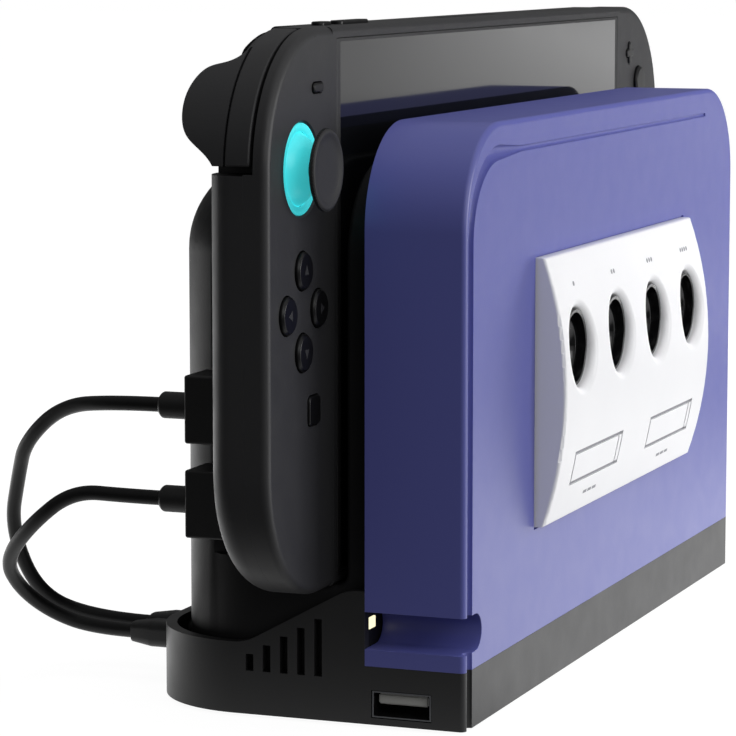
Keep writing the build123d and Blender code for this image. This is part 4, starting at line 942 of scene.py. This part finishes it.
world = bpy.data.worlds.new("studio")
bpy.context.scene.world = world
world.use_nodes = True
tree = world.node_tree
tree.nodes.clear()
way = add(tree, "ShaderNodeTexCoord").outputs["Generated"]
towards = add(tree, "ShaderNodeVectorMath", {0: way, 1: bright_side}, operation="DOT_PRODUCT")
level = add(tree, "ShaderNodeMapRange", {
    "Value": towards.outputs["Value"], "From Min": bright_edge, "From Max": 1.0,
    "To Min": dark_level, "To Max": bright_level}, interpolation_type="SMOOTHSTEP")
height = add(tree, "ShaderNodeSeparateXYZ", {"Vector": way})
above = add(tree, "ShaderNodeMapRange", {
    "Value": height.outputs["Z"], "From Min": top_start, "From Max": top_full, "To Max": top_level},
    interpolation_type="SMOOTHSTEP")
open_sky = add(tree, "ShaderNodeMath", {0: level.outputs["Result"], 1: above.outputs["Result"]},
               operation="MAXIMUM")
ray = add(tree, "ShaderNodeLightPath").outputs
shown = add(tree, "ShaderNodeMath", {0: ray["Is Camera Ray"], 1: open_sky.outputs["Value"]},
            operation="MAXIMUM")
sky = add(tree, "ShaderNodeBackground", {"Color": (1, 1, 1, 1), "Strength": shown.outputs["Value"]})
tree.links.new(sky.outputs["Background"], add(tree, "ShaderNodeOutputWorld").inputs["Surface"])
print("surroundings from", dark_level, "to", bright_level)

# %% [markdown]
# ## Paper
# The object stands on a sheet of white paper. The paper is white to the camera and takes the object's soft
# shadow. In reflections it is brightest close to the object, which gives the plinth and the lower half of
# the cover their sheen, and dark on the left. A ramp along X holds those levels, and a second, gentle slope
# makes the far side brighter than the near one. A light path tells a ray of the camera from a reflection.

# %% Paper
paper_sheen = (  # place along X, and how bright the paper is there in reflections
    (-0.17, 0.0), (-0.05, 1.9), (0.19, 1.8), (0.45, 0.2), (1.6, 0.2), (2.6, 0.75), (3.4, 0.78))
sheen_start, sheen_end = -0.5, 3.5
side_way = (0.39, 1, 0)
side_near, side_far = -0.03, 0.33
side_dim, side_bright = 0.71, 1.5
camera_white = 0.95  # the rest of the white comes from the lamps, so that a shadow still shows


def sweep_paper(name):
    """Paper that is white to the camera, and as bright in reflections as the sheen says."""
    material, tree, output = blank_material(name)
    place = add(tree, "ShaderNodeTexCoord").outputs["Object"]
    across = add(tree, "ShaderNodeSeparateXYZ", {"Vector": place})
    along = add(tree, "ShaderNodeMapRange", {
        "Value": across.outputs["X"], "From Min": sheen_start, "From Max": sheen_end})
    sheen = add(tree, "ShaderNodeValToRGB", {"Fac": along.outputs["Result"]})
    steps = sheen.color_ramp.elements
    for at, grey in paper_sheen:
        step = steps.new((at - sheen_start) / (sheen_end - sheen_start))
        step.color = (grey, grey, grey, 1)
    steps.remove(steps[0])
    steps.remove(steps[-1])
    ray = add(tree, "ShaderNodeLightPath").outputs
    mirrored = add(tree, "ShaderNodeMath", {0: ray["Is Glossy Ray"], 1: ray["Is Transmission Ray"]},
                   operation="MAXIMUM")
    aside = add(tree, "ShaderNodeVectorMath", {0: place, 1: side_way}, operation="DOT_PRODUCT")
    side = add(tree, "ShaderNodeMapRange", {
        "Value": aside.outputs["Value"], "From Min": side_near, "From Max": side_far,
        "To Min": side_dim, "To Max": side_bright})
    shade = add(tree, "ShaderNodeMath", {0: sheen.outputs["Color"], 1: side.outputs["Result"]},
                operation="MULTIPLY")
    bright = add(tree, "ShaderNodeMath", {0: mirrored.outputs["Value"], 1: shade.outputs["Value"]},
                 operation="MULTIPLY")
    seen = add(tree, "ShaderNodeMath", {0: ray["Is Camera Ray"], 1: camera_white}, operation="MULTIPLY")
    glow = add(tree, "ShaderNodeMath", {0: seen.outputs["Value"], 1: bright.outputs["Value"]},
               operation="MAXIMUM")
    light = add(tree, "ShaderNodeEmission", {"Strength": glow.outputs["Value"]})
    paper = add(tree, "ShaderNodeBsdfDiffuse", {"Color": colour("#666666")})
    both = add(tree, "ShaderNodeAddShader", {0: light.outputs["Emission"], 1: paper.outputs["BSDF"]})
    tree.links.new(both.outputs["Shader"], output.inputs["Surface"])
    return material


# Bleached and uncoated: an even white without gloss.
white_paper = sweep_paper("white_paper")
print("sheen of the paper has", len(paper_sheen), "steps")

# %% [markdown]
# ## Sweep
# A real sweep curves up behind the object. Here the camera sees the surroundings as white as the paper, so
# one flat square does. It is no piece of the object.

# %% Sweep
paper_half = 6.0
paper_mesh = bpy.data.meshes.new("sweep")
paper_corners = [(x * paper_half, y * paper_half, 0) for x, y in ((-1, -1), (1, -1), (1, 1), (-1, 1))]
paper_mesh.from_pydata(paper_corners, [], [(0, 1, 2, 3)])
paper_mesh.materials.append(white_paper)
sweep = show("sweep", paper_mesh)
print("sweep", 2 * paper_half, "m wide")

# %% [markdown]
# ## Hand over
# The colours are shown as they are, with the Standard view.

# %% Hand over
bpy.context.scene.view_settings.view_transform = "Standard"
bpy.context.view_layer.update()
